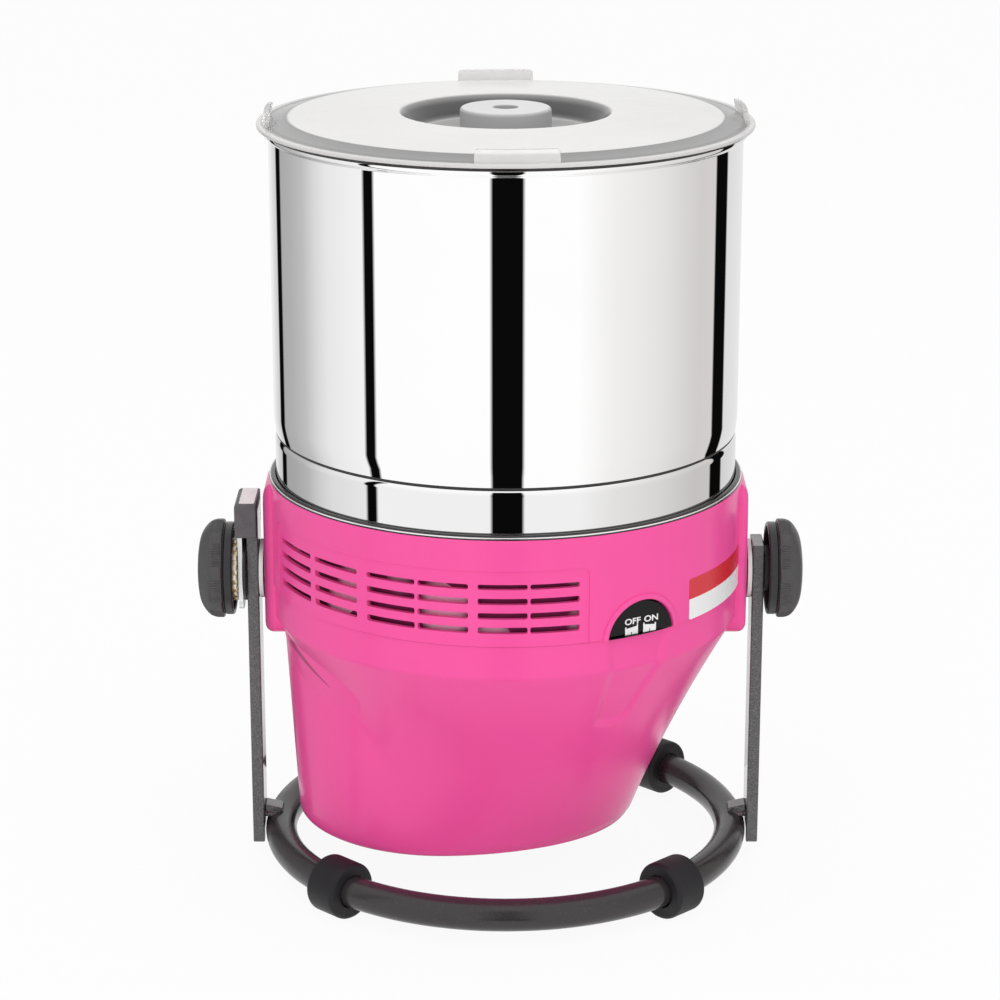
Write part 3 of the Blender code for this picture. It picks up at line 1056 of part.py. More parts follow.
def make_lid(lid, finishes):
    """Make the clear lid with its finger well and grip tabs, its knob and the knob's screw."""
    flange_low = RIM_TOP + FIT
    flange = flange_low + LID_SHEET
    plateau = flange + LID_PLATEAU_RISE
    floor = plateau - LID_WELL_DEPTH
    skirt_low = RIM_TOP - LID_SKIRT_DROP
    bevel_top = LID_BEVEL_RADIUS - LID_BEVEL_WIDTH
    well_floor = LID_WELL_RADIUS - LID_WELL_DRAFT
    screw_hole = LID_SCREW_RADIUS + FIT
    outline = [(screw_hole, floor), (well_floor, floor), (LID_WELL_RADIUS, plateau),
               (bevel_top, plateau), (LID_BEVEL_RADIUS, flange), (LID_RADIUS, flange),
               (LID_RADIUS, skirt_low), (LID_RADIUS - LID_SHEET, skirt_low),
               (LID_RADIUS - LID_SHEET, flange_low), (LID_BEVEL_RADIUS - LID_SHEET, flange_low),
               (bevel_top - LID_SHEET, plateau - LID_SHEET),
               (LID_WELL_RADIUS + LID_SHEET, plateau - LID_SHEET),
               (well_floor + LID_SHEET, floor - LID_SHEET), (screw_hole, floor - LID_SHEET)]
    shell = turned("lid_shell", outline, LARGE_SEGMENTS, lid, finishes["clear"])
    tab_outer = LID_RADIUS - LID_TAB_INSET
    bm = bmesh.new()
    for index in range(LID_TABS):
        middle = LID_TAB_TURN + QUARTER * index
        sector_bmesh(bm, tab_outer - LID_TAB_THICKNESS, tab_outer, flange - LID_TAB_SINK,
                     flange + LID_TAB_RISE, middle - LID_TAB_HALF_ANGLE, middle + LID_TAB_HALF_ANGLE,
                     LID_TAB_STEPS)
    join(shell, hide_cutter(finish("lid_tab_forms", bm, lid, None)))

    knob_low = floor + FIT
    knob_top = knob_low + LID_KNOB_HEIGHT
    screw_top = knob_low + LID_SCREW_GRIP
    hole_floor = knob_top - LID_KNOB_HOLE_DEPTH
    outline = [(0, screw_top + FIT), (screw_hole, screw_top + FIT), (screw_hole, knob_low),
               (LID_KNOB_RADIUS, knob_low), (LID_KNOB_RADIUS, knob_top - LID_KNOB_EDGE),
               (LID_KNOB_RADIUS - LID_KNOB_EDGE, knob_top), (LID_KNOB_HOLE_RADIUS, knob_top),
               (LID_KNOB_HOLE_RADIUS, hole_floor), (0, hole_floor)]
    turned("lid_knob", outline, MEDIUM_SEGMENTS, lid, finishes["grey"])
    head_top = floor - LID_SHEET - FIT
    outline = [(0, head_top - LID_SCREW_HEAD), (LID_SCREW_HEAD_RADIUS, head_top - LID_SCREW_HEAD),
               (LID_SCREW_HEAD_RADIUS, head_top), (LID_SCREW_RADIUS, head_top),
               (LID_SCREW_RADIUS, screw_top), (0, screw_top)]
    turned("lid_knob_screw", outline, SMALL_SEGMENTS, lid, finishes["zinc"])


def switch_point(distance, height):
    """Return a point straight out from the drum's axis at the switch's azimuth."""
    return (distance * math.sin(SWITCH_AZIMUTH), -distance * math.cos(SWITCH_AZIMUTH), height)


def make_switch(housing, rocker, finishes):
    """Make the half-moon rocker, resting with its OFF side pressed, and the switch behind it."""
    centre = SEAM_HEIGHT - SWITCH_CENTRE_DROP
    base = COLLAR_BOTTOM + SWITCH_SIDE_GAP - centre
    back = COLLAR_RADIUS - SWITCH_RECESS - ROCKER_THICKNESS
    extruded("switch_rocker", half_moon(SWITCH_RADIUS, base), 0, ROCKER_THICKNESS, rocker,
             finishes["black"], at=switch_point(back, centre),
             turn=(QUARTER, 0, SWITCH_AZIMUTH - ROCKER_TILT))
    low = CHASSIS_TOP + FIT - centre
    high = DRIVE_BOTTOM - FIT - centre
    front = back - SWITCH_BODY_GAP
    outline = [(-SWITCH_BODY_HALF_WIDTH, low), (SWITCH_BODY_HALF_WIDTH, low),
               (SWITCH_BODY_HALF_WIDTH, high), (-SWITCH_BODY_HALF_WIDTH, high)]
    turn = (QUARTER, 0, SWITCH_AZIMUTH)
    at = (0, 0, centre)
    body = extruded("switch_body", outline, front - SWITCH_BODY_DEPTH, front, housing,
                    finishes["black"], at=at, turn=turn)
    post_low = base + FIT
    outline = [(-SWITCH_POST_HALF_WIDTH, post_low), (SWITCH_POST_HALF_WIDTH, post_low),
               (SWITCH_POST_HALF_WIDTH, post_low + SWITCH_POST_HEIGHT),
               (-SWITCH_POST_HALF_WIDTH, post_low + SWITCH_POST_HEIGHT)]
    post = extruded("switch_post", outline, front - SWITCH_BODY_GAP, back - FIT, housing, None, at=at,
                    turn=turn)
    join(body, hide_cutter(post))


def build():
    """Build the whole machine."""
    clear_scene()
    finishes = make_materials()
    pivot = (0, 0, PIVOT_HEIGHT)
    stand = Carrier("stand_frame", (0, 0, 0))
    slider = Carrier("lock_slide_line", (-PLATE_INNER, 0, PIVOT_HEIGHT), stand)
    housing = Carrier("tilt_axis", pivot, stand)
    drum = Carrier("drum_axis", pivot, housing)
    rotor = Carrier("motor_axis", (-MOTOR_OFFSET, 0, PIVOT_HEIGHT), housing)
    lid = Carrier("lid_axis", (0, 0, RIM_TOP), drum)
    rollers = {number: Carrier("roller_apex_%d" % number, (0, 0, APEX_HEIGHT), housing)
               for number in range(1, ROLLER_COUNT + 1)}
    knobs = {side: Carrier("knob_axis_" + name, (side * BAR_OUTER, 0, PIVOT_HEIGHT), housing)
             for side, name in SIDE_NAMES.items()}
    back = COLLAR_RADIUS - SWITCH_RECESS - ROCKER_THICKNESS
    rocker = Carrier("rocker_axis", switch_point(back, SEAM_HEIGHT), housing)

    make_ring(stand, finishes)
    make_feet(stand, finishes)
    make_uprights(stand, finishes)
    make_lock(slider, finishes)
    make_index_disc(housing, finishes)
    make_pivots(housing, knobs, finishes)
    upper = make_upper_housing(housing, finishes)
    lower = make_lower_housing(housing, finishes)
    make_bottom_cover(lower, housing, finishes)
    make_shell_holes(upper, lower, housing)
    make_gland(lower, housing, finishes)
    make_chassis(housing, finishes)
    make_motor(housing, rotor, finishes)
    make_belt(housing, finishes)
    make_drum_drive(drum, finishes)
    make_drum_shell(drum, finishes)
    make_base_stone(drum, finishes)
    make_rollers(housing, rollers, finishes)
    make_holder(housing, finishes)
    make_lid(lid, finishes)
    make_switch(housing, rocker, finishes)


build()
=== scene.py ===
"""Looks of a tilting table-top wet grinder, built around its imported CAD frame.

Sizes in the classes are millimetres. Places are given from the drum's own axis, heights from the floor,
and azimuths in degrees around that axis, from the front and positive to the machine's right. A flat
pattern holds (along, up, out) and is bent around the drum's axis.
"""
import logging
import math
from collections.abc import Callable, Iterable, Sequence
from dataclasses import dataclass, field
from enum import Enum
from typing import Any

import bmesh
import bpy
from mathutils import Matrix, Vector


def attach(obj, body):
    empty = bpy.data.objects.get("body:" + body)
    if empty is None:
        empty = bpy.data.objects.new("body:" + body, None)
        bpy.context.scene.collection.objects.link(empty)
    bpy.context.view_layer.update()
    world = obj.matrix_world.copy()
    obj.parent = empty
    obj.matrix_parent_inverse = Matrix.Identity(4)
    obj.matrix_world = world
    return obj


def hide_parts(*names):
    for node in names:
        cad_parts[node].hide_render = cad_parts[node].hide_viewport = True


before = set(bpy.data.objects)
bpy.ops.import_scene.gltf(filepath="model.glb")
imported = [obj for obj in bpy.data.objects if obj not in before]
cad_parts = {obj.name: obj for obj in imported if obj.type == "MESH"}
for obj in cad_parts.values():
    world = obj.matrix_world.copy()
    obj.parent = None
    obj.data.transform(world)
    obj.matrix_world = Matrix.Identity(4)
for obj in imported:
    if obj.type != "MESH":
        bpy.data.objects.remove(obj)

MM = 0.001
FULL = 2 * math.pi
QUARTER = math.pi / 2
NEAR = 1e-5
AXIS_X = 2.1
PIVOT = 154.0
BOLT = 4.3
COLLAR_RADIUS = 119.0
SWITCH_AZIMUTH = 33.5
SWITCH_CENTRE = 151.0
FLIP_TO_PATTERN = Matrix(((0, 0, 1, 0), (0, 1, 0, 0), (1, 0, 0, 0), (0, 0, 0, 1)))
UPRIGHT = Matrix.Rotation(QUARTER, 4, "X")

Corner = tuple[float, ...]
Span = tuple[float, float]
Colour = tuple[float, float, float]
log = logging.getLogger("wet_grinder")


class Side(Enum):
    """The two sides of the machine, as the sign of x."""

    LEFT = -1
    RIGHT = 1


class Slot(Enum):
    """Material slots of the record; pieces are handed one, which this script does not read."""

    HOUSING = "housing_plastic"
    MIRROR = "mirror_steel"
    FRAME = "powder_coat"
    FOOT = "foot_rubber"
    BLACK = "black_plastic"
    LID = "clear_lid"
    GREY = "grey_plastic"
    ZINC = "zinc_plate"
    YELLOW = "yellow_zinc"
    STONE = "granite"
    NYLON = "white_nylon"


def unit(value: float) -> float:
    """Hold a number between 0 and 1."""
    return min(max(value, 0.0), 1.0)


def eased(share: float) -> float:
    """Ease a share from 0 to 1 in and out."""
    return share * share * (3 - 2 * share)


# ---------------------------------------------------------------------------------------------------
# Shader nodes
# ---------------------------------------------------------------------------------------------------

class NodeTree:
    """A shader node tree that is filled with short calls."""

    def __init__(self, tree: bpy.types.NodeTree) -> None:
        """Keep the tree that is filled."""
        self.tree = tree

    def add(self, kind: str, settings: dict[str, Any] | None = None, **inputs: Any) -> bpy.types.Node:
        """Add a node.

        Args:
            kind: The node's type without its ShaderNode prefix.
            settings: Properties of the node itself.
            inputs: Values or output sockets by input name, or by number as in _0, with _ for spaces.

        Returns:
            The new node.
        """
        node = self.tree.nodes.new("ShaderNode" + kind)
        for key, value in (settings or {}).items():
            setattr(node, key, value)
        for key, value in inputs.items():
            number = key[1:]
            socket = node.inputs[int(number) if number.isdigit() else key.replace("_", " ")]
            self.feed(socket, value)
        return node

    def feed(self, socket: bpy.types.NodeSocket, value: Any) -> None:
        """Set an input to a value, or link an output to it.

        Args:
            socket: The input.
            value: A plain value or an output socket.
        """
        if isinstance(value, bpy.types.NodeSocket):
            self.tree.links.new(value, socket)
        else:
            socket.default_value = value

    def maths(self, operation: str, first: Any, second: Any = 0.0, third: Any = 0.0,
              clamp: bool = False) -> bpy.types.NodeSocket:
        """Add a sum of up to three numbers and return its result."""
        settings = {"operation": operation, "use_clamp": clamp}
        return self.add("Math", settings, _0=first, _1=second, _2=third).outputs[0]

    def between(self, value: Any, low: float, high: float, start: float = 0.0,
                end: float = 1.0) -> bpy.types.NodeSocket:
        """Map a range smoothly onto another and return the result."""
        return self.add("MapRange", {"interpolation_type": "SMOOTHSTEP"}, Value=value, From_Min=low,
                        From_Max=high, To_Min=start, To_Max=end).outputs[0]

    def mixed(self, factor: Any, first: Any, second: Any, blend: str = "MIX") -> bpy.types.NodeSocket:
        """Mix two colours.

        Args:
            factor: The second colour's share.
            first: The colour below.
            second: The colour over it.
            blend: How the second goes over the first.

        Returns:
            The mixed colour.
        """
        node = self.add("Mix", {"data_type": "RGBA", "blend_type": blend}, _0=factor)
        self.feed(node.inputs[6], first)
        self.feed(node.inputs[7], second)
        return node.outputs[2]

    def ramp(self, value: Any, stops: Iterable[tuple[float, Colour]]) -> bpy.types.NodeSocket:
        """Look a colour up along a ramp.

        Args:
            value: Place along the ramp, from 0 to 1.
            stops: Place and colour of each stop, in order.

        Returns:
            The colour.
        """
        node = self.add("ValToRGB", Fac=value)
        elements = node.color_ramp.elements
        elements.remove(elements[1])
        for number, (place, colour) in enumerate(stops):
            element = elements.new(place) if number else elements[0]
            element.position, element.color = place, (*colour, 1.0)
        return node.outputs[0]

    def place(self) -> bpy.types.NodeSocket:
        """Return the Object coordinates of the shaded point."""
        return self.add("TexCoord").outputs["Object"]

    def from_axis(self) -> bpy.types.Node:
        """Return a node that puts out x, y and z from the drum's axis."""
        centred = self.add("Mapping", Vector=self.place(), Location=(-AXIS_X * MM, 0, 0))
        return self.add("SeparateXYZ", Vector=centred.outputs[0])

    def radius(self, parts: bpy.types.Node) -> bpy.types.NodeSocket:
        """Return how far a place from the node above is from the drum's axis."""
        flat = self.add("CombineXYZ", X=parts.outputs[0], Y=parts.outputs[1])
        return self.add("VectorMath", {"operation": "LENGTH"}, _0=flat.outputs[0]).outputs["Value"]

    def noise(self, scale: Any, detail: float = 3.0, vector: Any = None) -> bpy.types.NodeSocket:
        """Add a noise, on Object coordinates unless a vector is given, and return its value."""
        return self.add("TexNoise", Vector=vector or self.place(), Scale=scale, Detail=detail).outputs[0]


class Effect:
    """A shader node group with named inputs and one output, made once."""

    made: dict[str, bpy.types.NodeTree] = {}

    def __init__(self, name: str, inputs: dict[str, Any], output: str, kind: str,
                 fill: Callable[[NodeTree, bpy.types.Node], Any]) -> None:
        """Keep what the group needs.

        Args:
            name: The group's name.
            inputs: Default values by input name; a colour is a tuple of four.
            output: The name of its one output.
            kind: The output's kind: Float, Color or Vector.
            fill: Fills the tree from the input node and returns the socket to put out.
        """
        self.name, self.inputs, self.output, self.kind, self.fill = name, inputs, output, kind, fill

    def group(self) -> bpy.types.NodeTree:
        """Make the group at the first call.

        Returns:
            The group's tree.
        """
        if self.name not in self.made:
            tree = bpy.data.node_groups.new(self.name, "ShaderNodeTree")
            for key, value in self.inputs.items():
                kind = "Color" if isinstance(value, tuple) else "Float"
                socket = tree.interface.new_socket(key, in_out="INPUT", socket_type="NodeSocket" + kind)
                socket.default_value = value
            tree.interface.new_socket(self.output, in_out="OUTPUT", socket_type="NodeSocket" + self.kind)
            source, sink = tree.nodes.new("NodeGroupInput"), tree.nodes.new("NodeGroupOutput")
            tree.links.new(self.fill(NodeTree(tree), source), sink.inputs[0])
            self.made[self.name] = tree
        return self.made[self.name]

    def use(self, nodes: NodeTree, **inputs: Any) -> bpy.types.NodeSocket:
        """Place the group in a material and return its output."""
        return nodes.add("Group", {"node_tree": self.group()}, **inputs).outputs[0]


def _fill_tone(nodes: NodeTree, source: bpy.types.Node) -> bpy.types.NodeSocket:
    """Drift a colour slowly darker and lighter.

    Args:
        nodes: The group's tree.
        source: Its input node, with Colour, Scale and Amount.

    Returns:
        The drifting colour.
    """
    share = nodes.between(nodes.noise(source.outputs["Scale"]), 0.3, 0.7, -1.0, 1.0)
    value = nodes.maths("MULTIPLY_ADD", share, source.outputs["Amount"], 1.0)
    return nodes.add("HueSaturation", Color=source.outputs["Colour"], Value=value).outputs[0]


def _fill_gloss(nodes: NodeTree, source: bpy.types.Node) -> bpy.types.NodeSocket:
    """Drift a roughness with handling marks.

    Args:
        nodes: The group's tree.
        source: Its input node, with Roughness, Scale and Amount.

    Returns:
        The drifting roughness.
    """
    share = nodes.between(nodes.noise(source.outputs["Scale"], 5.0), 0.3, 0.75, -1.0, 1.0)
    drift = nodes.maths("MULTIPLY", share, source.outputs["Amount"])
    return nodes.maths("ADD", drift, source.outputs["Roughness"], clamp=True)


def _raised(nodes: NodeTree, source: bpy.types.Node, height: Any) -> bpy.types.NodeSocket:
    """Return the normal of a surface raised by a height times the group's Depth."""
    return nodes.add("Bump", Height=height, Distance=source.outputs["Depth"], Strength=1.0).outputs[0]


def _fill_skin(nodes: NodeTree, source: bpy.types.Node) -> bpy.types.NodeSocket:
    """Raise a fine moulded or sprayed grain."""
    return _raised(nodes, source, nodes.noise(source.outputs["Scale"], 2.0))


def _fill_turning(nodes: NodeTree, source: bpy.types.Node) -> bpy.types.NodeSocket:
    """Cut fine turning or polishing lines around the drum's axis.

    Args:
        nodes: The group's tree.
        source: Its input node, with Scale and Depth.

    Returns:
        The normal.
    """
    parts = nodes.from_axis()
    line = nodes.add("CombineXYZ", X=nodes.radius(parts), Y=parts.outputs[2])
    return _raised(nodes, source, nodes.noise(source.outputs["Scale"], 4.0, line.outputs[0]))


def _fill_flecks(nodes: NodeTree, source: bpy.types.Node) -> bpy.types.NodeSocket:
    """Scatter small flecks.

    Args:
        nodes: The group's tree.
        source: Its input node, with Scale, and Share for the part of the surface that they take.

    Returns:
        The mask of the flecks.
    """
    cells = nodes.add("TexVoronoi", Vector=nodes.place(), Scale=source.outputs["Scale"], Randomness=1.0)
    value = nodes.add("SeparateColor", Color=cells.outputs["Color"]).outputs[0]
    limit = nodes.maths("SUBTRACT", 1.0, source.outputs["Share"])
    near = nodes.between(cells.outputs["Distance"], 0.35, 0.6, 1.0, 0.0)
    return nodes.maths("MULTIPLY", nodes.maths("GREATER_THAN", value, limit), near)


def _fill_wear(nodes: NodeTree, source: bpy.types.Node) -> bpy.types.NodeSocket:
    """Find edges, broken up by a noise.

    Args:
        nodes: The group's tree.
        source: Its input node, with Radius.

    Returns:
        The mask of the worn edges.
    """
    round_normal = nodes.add("Bevel", {"samples": 4}, Radius=source.outputs["Radius"]).outputs[0]
    plain = nodes.add("NewGeometry").outputs["Normal"]
    same = nodes.add("VectorMath", {"operation": "DOT_PRODUCT"}, _0=round_normal, _1=plain)
    edge = nodes.between(same.outputs["Value"], 0.99, 0.90)
    return nodes.maths("MULTIPLY", edge, nodes.between(nodes.noise(260.0, 4.0), 0.42, 0.62))


TONE = Effect("tone_drift", {"Colour": (1.0, 1.0, 1.0, 1.0), "Scale": 12.0, "Amount": 0.05}, "Colour",
              "Color", _fill_tone)
GLOSS = Effect("gloss_drift", {"Roughness": 0.3, "Scale": 30.0, "Amount": 0.05}, "Roughness", "Float",
               _fill_gloss)
SKIN = Effect("skin_grain", {"Scale": 1500.0, "Depth": 5e-5}, "Normal", "Vector", _fill_skin)
TURNING = Effect("turning_lines", {"Scale": 2500.0, "Depth": 1e-5}, "Normal", "Vector", _fill_turning)
FLECKS = Effect("flecks", {"Scale": 900.0, "Share": 0.2}, "Mask", "Float", _fill_flecks)
WEAR = Effect("edge_wear", {"Radius": 0.6 * MM}, "Mask", "Float", _fill_wear)


# ---------------------------------------------------------------------------------------------------
# Finishes
# ---------------------------------------------------------------------------------------------------

@dataclass(frozen=True)
class Finish:
    """A surface finish with drifting tone and gloss and a fine grain; its grain's depth is in metres."""

    name: str
    colour: Colour
    roughness: float
    metallic: float = 0.0
    tone: float = 0.03
    tone_scale: float = 12.0
    gloss: float = 0.04
    gloss_scale: float = 40.0
    grain_scale: float = 1500.0
    grain_depth: float = 1e-5
    turned: bool = False
    settings: tuple[tuple[str, Any], ...] = ()

    def material(self) -> bpy.types.Material:
        """Make the material at the first call.

        Returns:
            The material.
        """
        found = bpy.data.materials.get(self.name)
        if found:
            return found
        made = bpy.data.materials.new(self.name)
        made.use_nodes = True
        made.diffuse_color = (*self.colour, 1.0)
        shader = made.node_tree.nodes["Principled BSDF"]
        for key, value in (("Metallic", self.metallic), *self.settings):
            shader.inputs[key].default_value = value
        self.dress(NodeTree(made.node_tree), shader)
        return made

    def colour_socket(self, nodes: NodeTree) -> bpy.types.NodeSocket:
        """Return the drifting colour."""
        return TONE.use(nodes, Colour=(*self.colour, 1.0), Scale=self.tone_scale, Amount=self.tone)

    def gloss_socket(self, nodes: NodeTree) -> bpy.types.NodeSocket:
        """Return the drifting roughness."""
        return GLOSS.use(nodes, Roughness=self.roughness, Scale=self.gloss_scale, Amount=self.gloss)

    def dress(self, nodes: NodeTree, shader: bpy.types.Node) -> None:
        """Feed the shader's colour, roughness and normal.

        Args:
            nodes: The material's tree.
            shader: Its shader.
        """
        nodes.feed(shader.inputs["Base Color"], self.colour_socket(nodes))
        nodes.feed(shader.inputs["Roughness"], self.gloss_socket(nodes))
        effect = TURNING if self.turned else SKIN
        nodes.feed(shader.inputs["Normal"], effect.use(nodes, Scale=self.grain_scale, Depth=self.grain_depth))


@dataclass(frozen=True)
class FleckedFinish(Finish):
    """A finish with flecks of one or two more colours, such as granite or a speckled powder coat."""

    fleck: Colour = (0.5, 0.5, 0.5)
    fleck_scale: float = 900.0
    fleck_share: float = 0.2
    second: Colour = (0.02, 0.02, 0.02)
    second_share: float = 0.0

    def colour_socket(self, nodes: NodeTree) -> bpy.types.NodeSocket:
        """Scatter the flecks over the drifting colour.

        Args:
            nodes: The material's tree.

        Returns:
            The colour.
        """
        base = super().colour_socket(nodes)
        for colour, scale, share in ((self.fleck, self.fleck_scale, self.fleck_share),
                                     (self.second, self.fleck_scale * 0.6, self.second_share)):
            if share:
                base = nodes.mixed(FLECKS.use(nodes, Scale=scale, Share=share), base, (*colour, 1.0))
        return base


@dataclass(frozen=True)
class WornFinish(FleckedFinish):
    """A painted finish that is rubbed paler along its edges."""

    bare: Colour = (0.16, 0.16, 0.16)

    def colour_socket(self, nodes: NodeTree) -> bpy.types.NodeSocket:
        """Return the colour with its flecks and worn edges."""
        return nodes.mixed(WEAR.use(nodes), super().colour_socket(nodes), (*self.bare, 1.0))


@dataclass(frozen=True)
class BandedFinish(Finish):
    """A finish whose tone changes from ring to ring around the drum's axis, or from height to height."""

    bands: tuple[Span, ...] = ((0.0, 1.0), (1.0, 1.0))
    span: float = 125.0
    by_height: bool = False

    def colour_socket(self, nodes: NodeTree) -> bpy.types.NodeSocket:
        """Multiply the drifting colour by the tone of the ring or the height.

        Args:
            nodes: The material's tree.

        Returns:
            The colour.
        """
        parts = nodes.from_axis()
        value = parts.outputs[2] if self.by_height else nodes.radius(parts)
        stops = [(place / self.span, (tone,) * 3) for place, tone in self.bands]
        tones = nodes.ramp(nodes.maths("MULTIPLY", value, 1 / (self.span * MM)), stops)
        return nodes.mixed(1.0, super().colour_socket(nodes), tones, "MULTIPLY")


@dataclass(frozen=True)
class PaintedCreaseShadeFinish(Finish):
    """A moulding with painted shade along one crease on its front, from (x, height) to where it narrows to
    nothing.
    """

    start: Span = (-110.1, 125.5)
    end: Span = (-84.4, 110.0)
    width: float = 4.2
    shade: float = 0.5

    def colour_socket(self, nodes: NodeTree) -> bpy.types.NodeSocket:
        """Paint shade along the crease over the drifting colour.

        Args:
            nodes: The material's tree.

        Returns:
            The colour.
        """
        base = super().colour_socket(nodes)
        run = Vector(self.end) - Vector(self.start)
        length = run.length
        parts = nodes.from_axis()
        right = nodes.maths("SUBTRACT", parts.outputs[0], self.start[0] * MM)
        up = nodes.maths("SUBTRACT", parts.outputs[2], self.start[1] * MM)
        share = nodes.maths("ADD", nodes.maths("MULTIPLY", right, run.x / length ** 2 / MM),
                            nodes.maths("MULTIPLY", up, run.y / length ** 2 / MM))
        aside = nodes.maths("ADD", nodes.maths("MULTIPLY", right, -run.y / length / MM),
                            nodes.maths("MULTIPLY", up, run.x / length / MM))
        limit = nodes.maths("MULTIPLY", nodes.maths("SUBTRACT", 1.0, share), self.width)
        mask = nodes.maths("LESS_THAN", parts.outputs[1], 0.0)
        for edge in (nodes.between(nodes.maths("SUBTRACT", limit, aside), 0.0, 0.5),
                     nodes.between(aside, -0.6, 0.1), nodes.between(share, 0.0, 0.08),
                     nodes.between(share, 0.98, 0.80)):
            mask = nodes.maths("MULTIPLY", mask, edge)
        return nodes.mixed(mask, base, (*(value * self.shade for value in self.colour), 1.0))


@dataclass(frozen=True)
class LabelFinish(Finish):
    """A printed sticker with a coloured band over a white field, divided at a height."""

    band: Colour = (0.66, 0.016, 0.03)
    line: float = 163.3
    blur: float = 0.1

    def colour_socket(self, nodes: NodeTree) -> bpy.types.NodeSocket:
        """Print the band above the line.

        Args:
            nodes: The material's tree.

        Returns:
            The colour.
        """
        height = nodes.add("SeparateXYZ", Vector=nodes.place()).outputs[2]
        mask = nodes.between(height, (self.line - self.blur) * MM, (self.line + self.blur) * MM)
        return nodes.mixed(mask, super().colour_socket(nodes), (*self.band, 1.0))


LOW_SHEEN = (("Specular IOR Level", 0.22),)
PINK_SKIN: dict[str, Any] = {"colour": (0.88, 0.088, 0.345), "roughness": 0.24, "tone": 0.012, "gloss": 0.03,
                             "grain_scale": 420.0, "grain_depth": 6e-6, "settings": LOW_SHEEN}
PINK = Finish("pink_gloss_plastic", **PINK_SKIN)
# Pink of the lower shell, with painted shade along the crease at the left of the tub.
SHELL_PINK_PAINTED_SHADE = PaintedCreaseShadeFinish("pink_shell_painted_crease_shade", **PINK_SKIN)
# Pink that darkens towards the ear's outer face: painted shade from the bar and cap beside the left ear.
EAR_PINK_PAINTED_SHADE = BandedFinish("pink_ear_painted_shade", **PINK_SKIN, bands=(
    (0.0, 1.0), (119.0, 1.0), (120.0, 0.90), (121.5, 0.66), (122.6, 0.50), (123.6, 0.38)))
# Dark pink for the sheet behind the vents: painted shade, with large pale flecks that are painted reflections
# of the metal inside.
LINER_PAINTED_SHADE_AND_GLINTS = FleckedFinish("liner_painted_shade_and_glints", (0.20, 0.008, 0.085), 0.5, tone=0.1, grain_depth=2e-5,
                           fleck=(0.95, 0.52, 0.74), fleck_scale=42.0, fleck_share=0.36)
# The steel is 0.88 as bright below 226.5 mm as above 228.5 mm, so the drum's belt is darker than its wall.
MIRROR = BandedFinish("polished_drum_steel", (0.985, 0.985, 0.985), 0.008, 1.0, tone=0.006, gloss=0.004,
                      grain_scale=500.0, grain_depth=3e-7, turned=True, span=400.0, by_height=True,
                      bands=((0.0, 0.88), (226.5, 0.88), (228.5, 1.0), (400.0, 1.0)))
BEAD_STEEL = Finish("bright_bead_steel", (0.93, 0.93, 0.93), 0.30, 1.0, tone=0.02, grain_scale=900.0,
                    grain_depth=2e-6)
TURNED = Finish("turned_steel", (0.72, 0.72, 0.73), 0.22, 1.0, grain_scale=2600.0, turned=True)
COAT = WornFinish("black_powder_coat", (0.058, 0.058, 0.059), 0.42, grain_depth=1e-4, gloss=0.1,
                  fleck=(0.17, 0.17, 0.17), fleck_scale=2300.0, fleck_share=0.26,
                  second=(0.012, 0.012, 0.012), second_share=0.2,
                  settings=(("Coat Weight", 1.0), ("Coat Roughness", 0.07)))
TUBE_PAINT = WornFinish("black_tube_paint", (0.030, 0.026, 0.027), 0.25, grain_scale=700.0,
                        grain_depth=1.2e-5, gloss=0.08, fleck=(0.045, 0.042, 0.043), fleck_scale=1400.0,
                        fleck_share=0.06)
RUBBER = Finish("black_foot_rubber", (0.012, 0.011, 0.013), 0.55, gloss=0.1, grain_scale=1800.0,
                grain_depth=6e-5, settings=(("Specular IOR Level", 0.32),))
BLACK = Finish("black_moulded_plastic", (0.016, 0.016, 0.018), 0.30, gloss=0.06, grain_scale=1700.0,
               grain_depth=3e-5)
ROCKER_BLACK = Finish("black_rocker_plastic", (0.006, 0.0062, 0.0065), 0.22, grain_scale=1700.0,
                      settings=LOW_SHEEN)
SATIN_BLACK = Finish("black_cover_plastic", (0.02, 0.02, 0.022), 0.55, gloss=0.08, grain_scale=1200.0,
                     grain_depth=8e-5)
# Black for the seal ring between drum and collar with its line of painted shade, and for the ring of painted
# shade under the lid.
SEAL_AND_SHADE_BLACK = Finish("dark_seal_and_painted_shade", (0.022, 0.018, 0.018), 0.18, gloss=0.05, grain_scale=900.0)
CAP_BLACK = WornFinish("grained_cap_plastic", (0.092, 0.090, 0.095), 0.46, gloss=0.1, tone=0.12,
                       tone_scale=150.0, grain_scale=900.0, grain_depth=8e-5,
                       fleck=(0.12, 0.118, 0.125), fleck_scale=1300.0, fleck_share=0.10,
                       bare=(0.24, 0.24, 0.24))
KNOB_BLACK = WornFinish("black_knob_plastic", (0.056, 0.055, 0.055), 0.40, gloss=0.07, grain_depth=5e-5,
                        fleck=(0.08, 0.08, 0.08), fleck_scale=2200.0, fleck_share=0.12,
                        bare=(0.10, 0.10, 0.10))
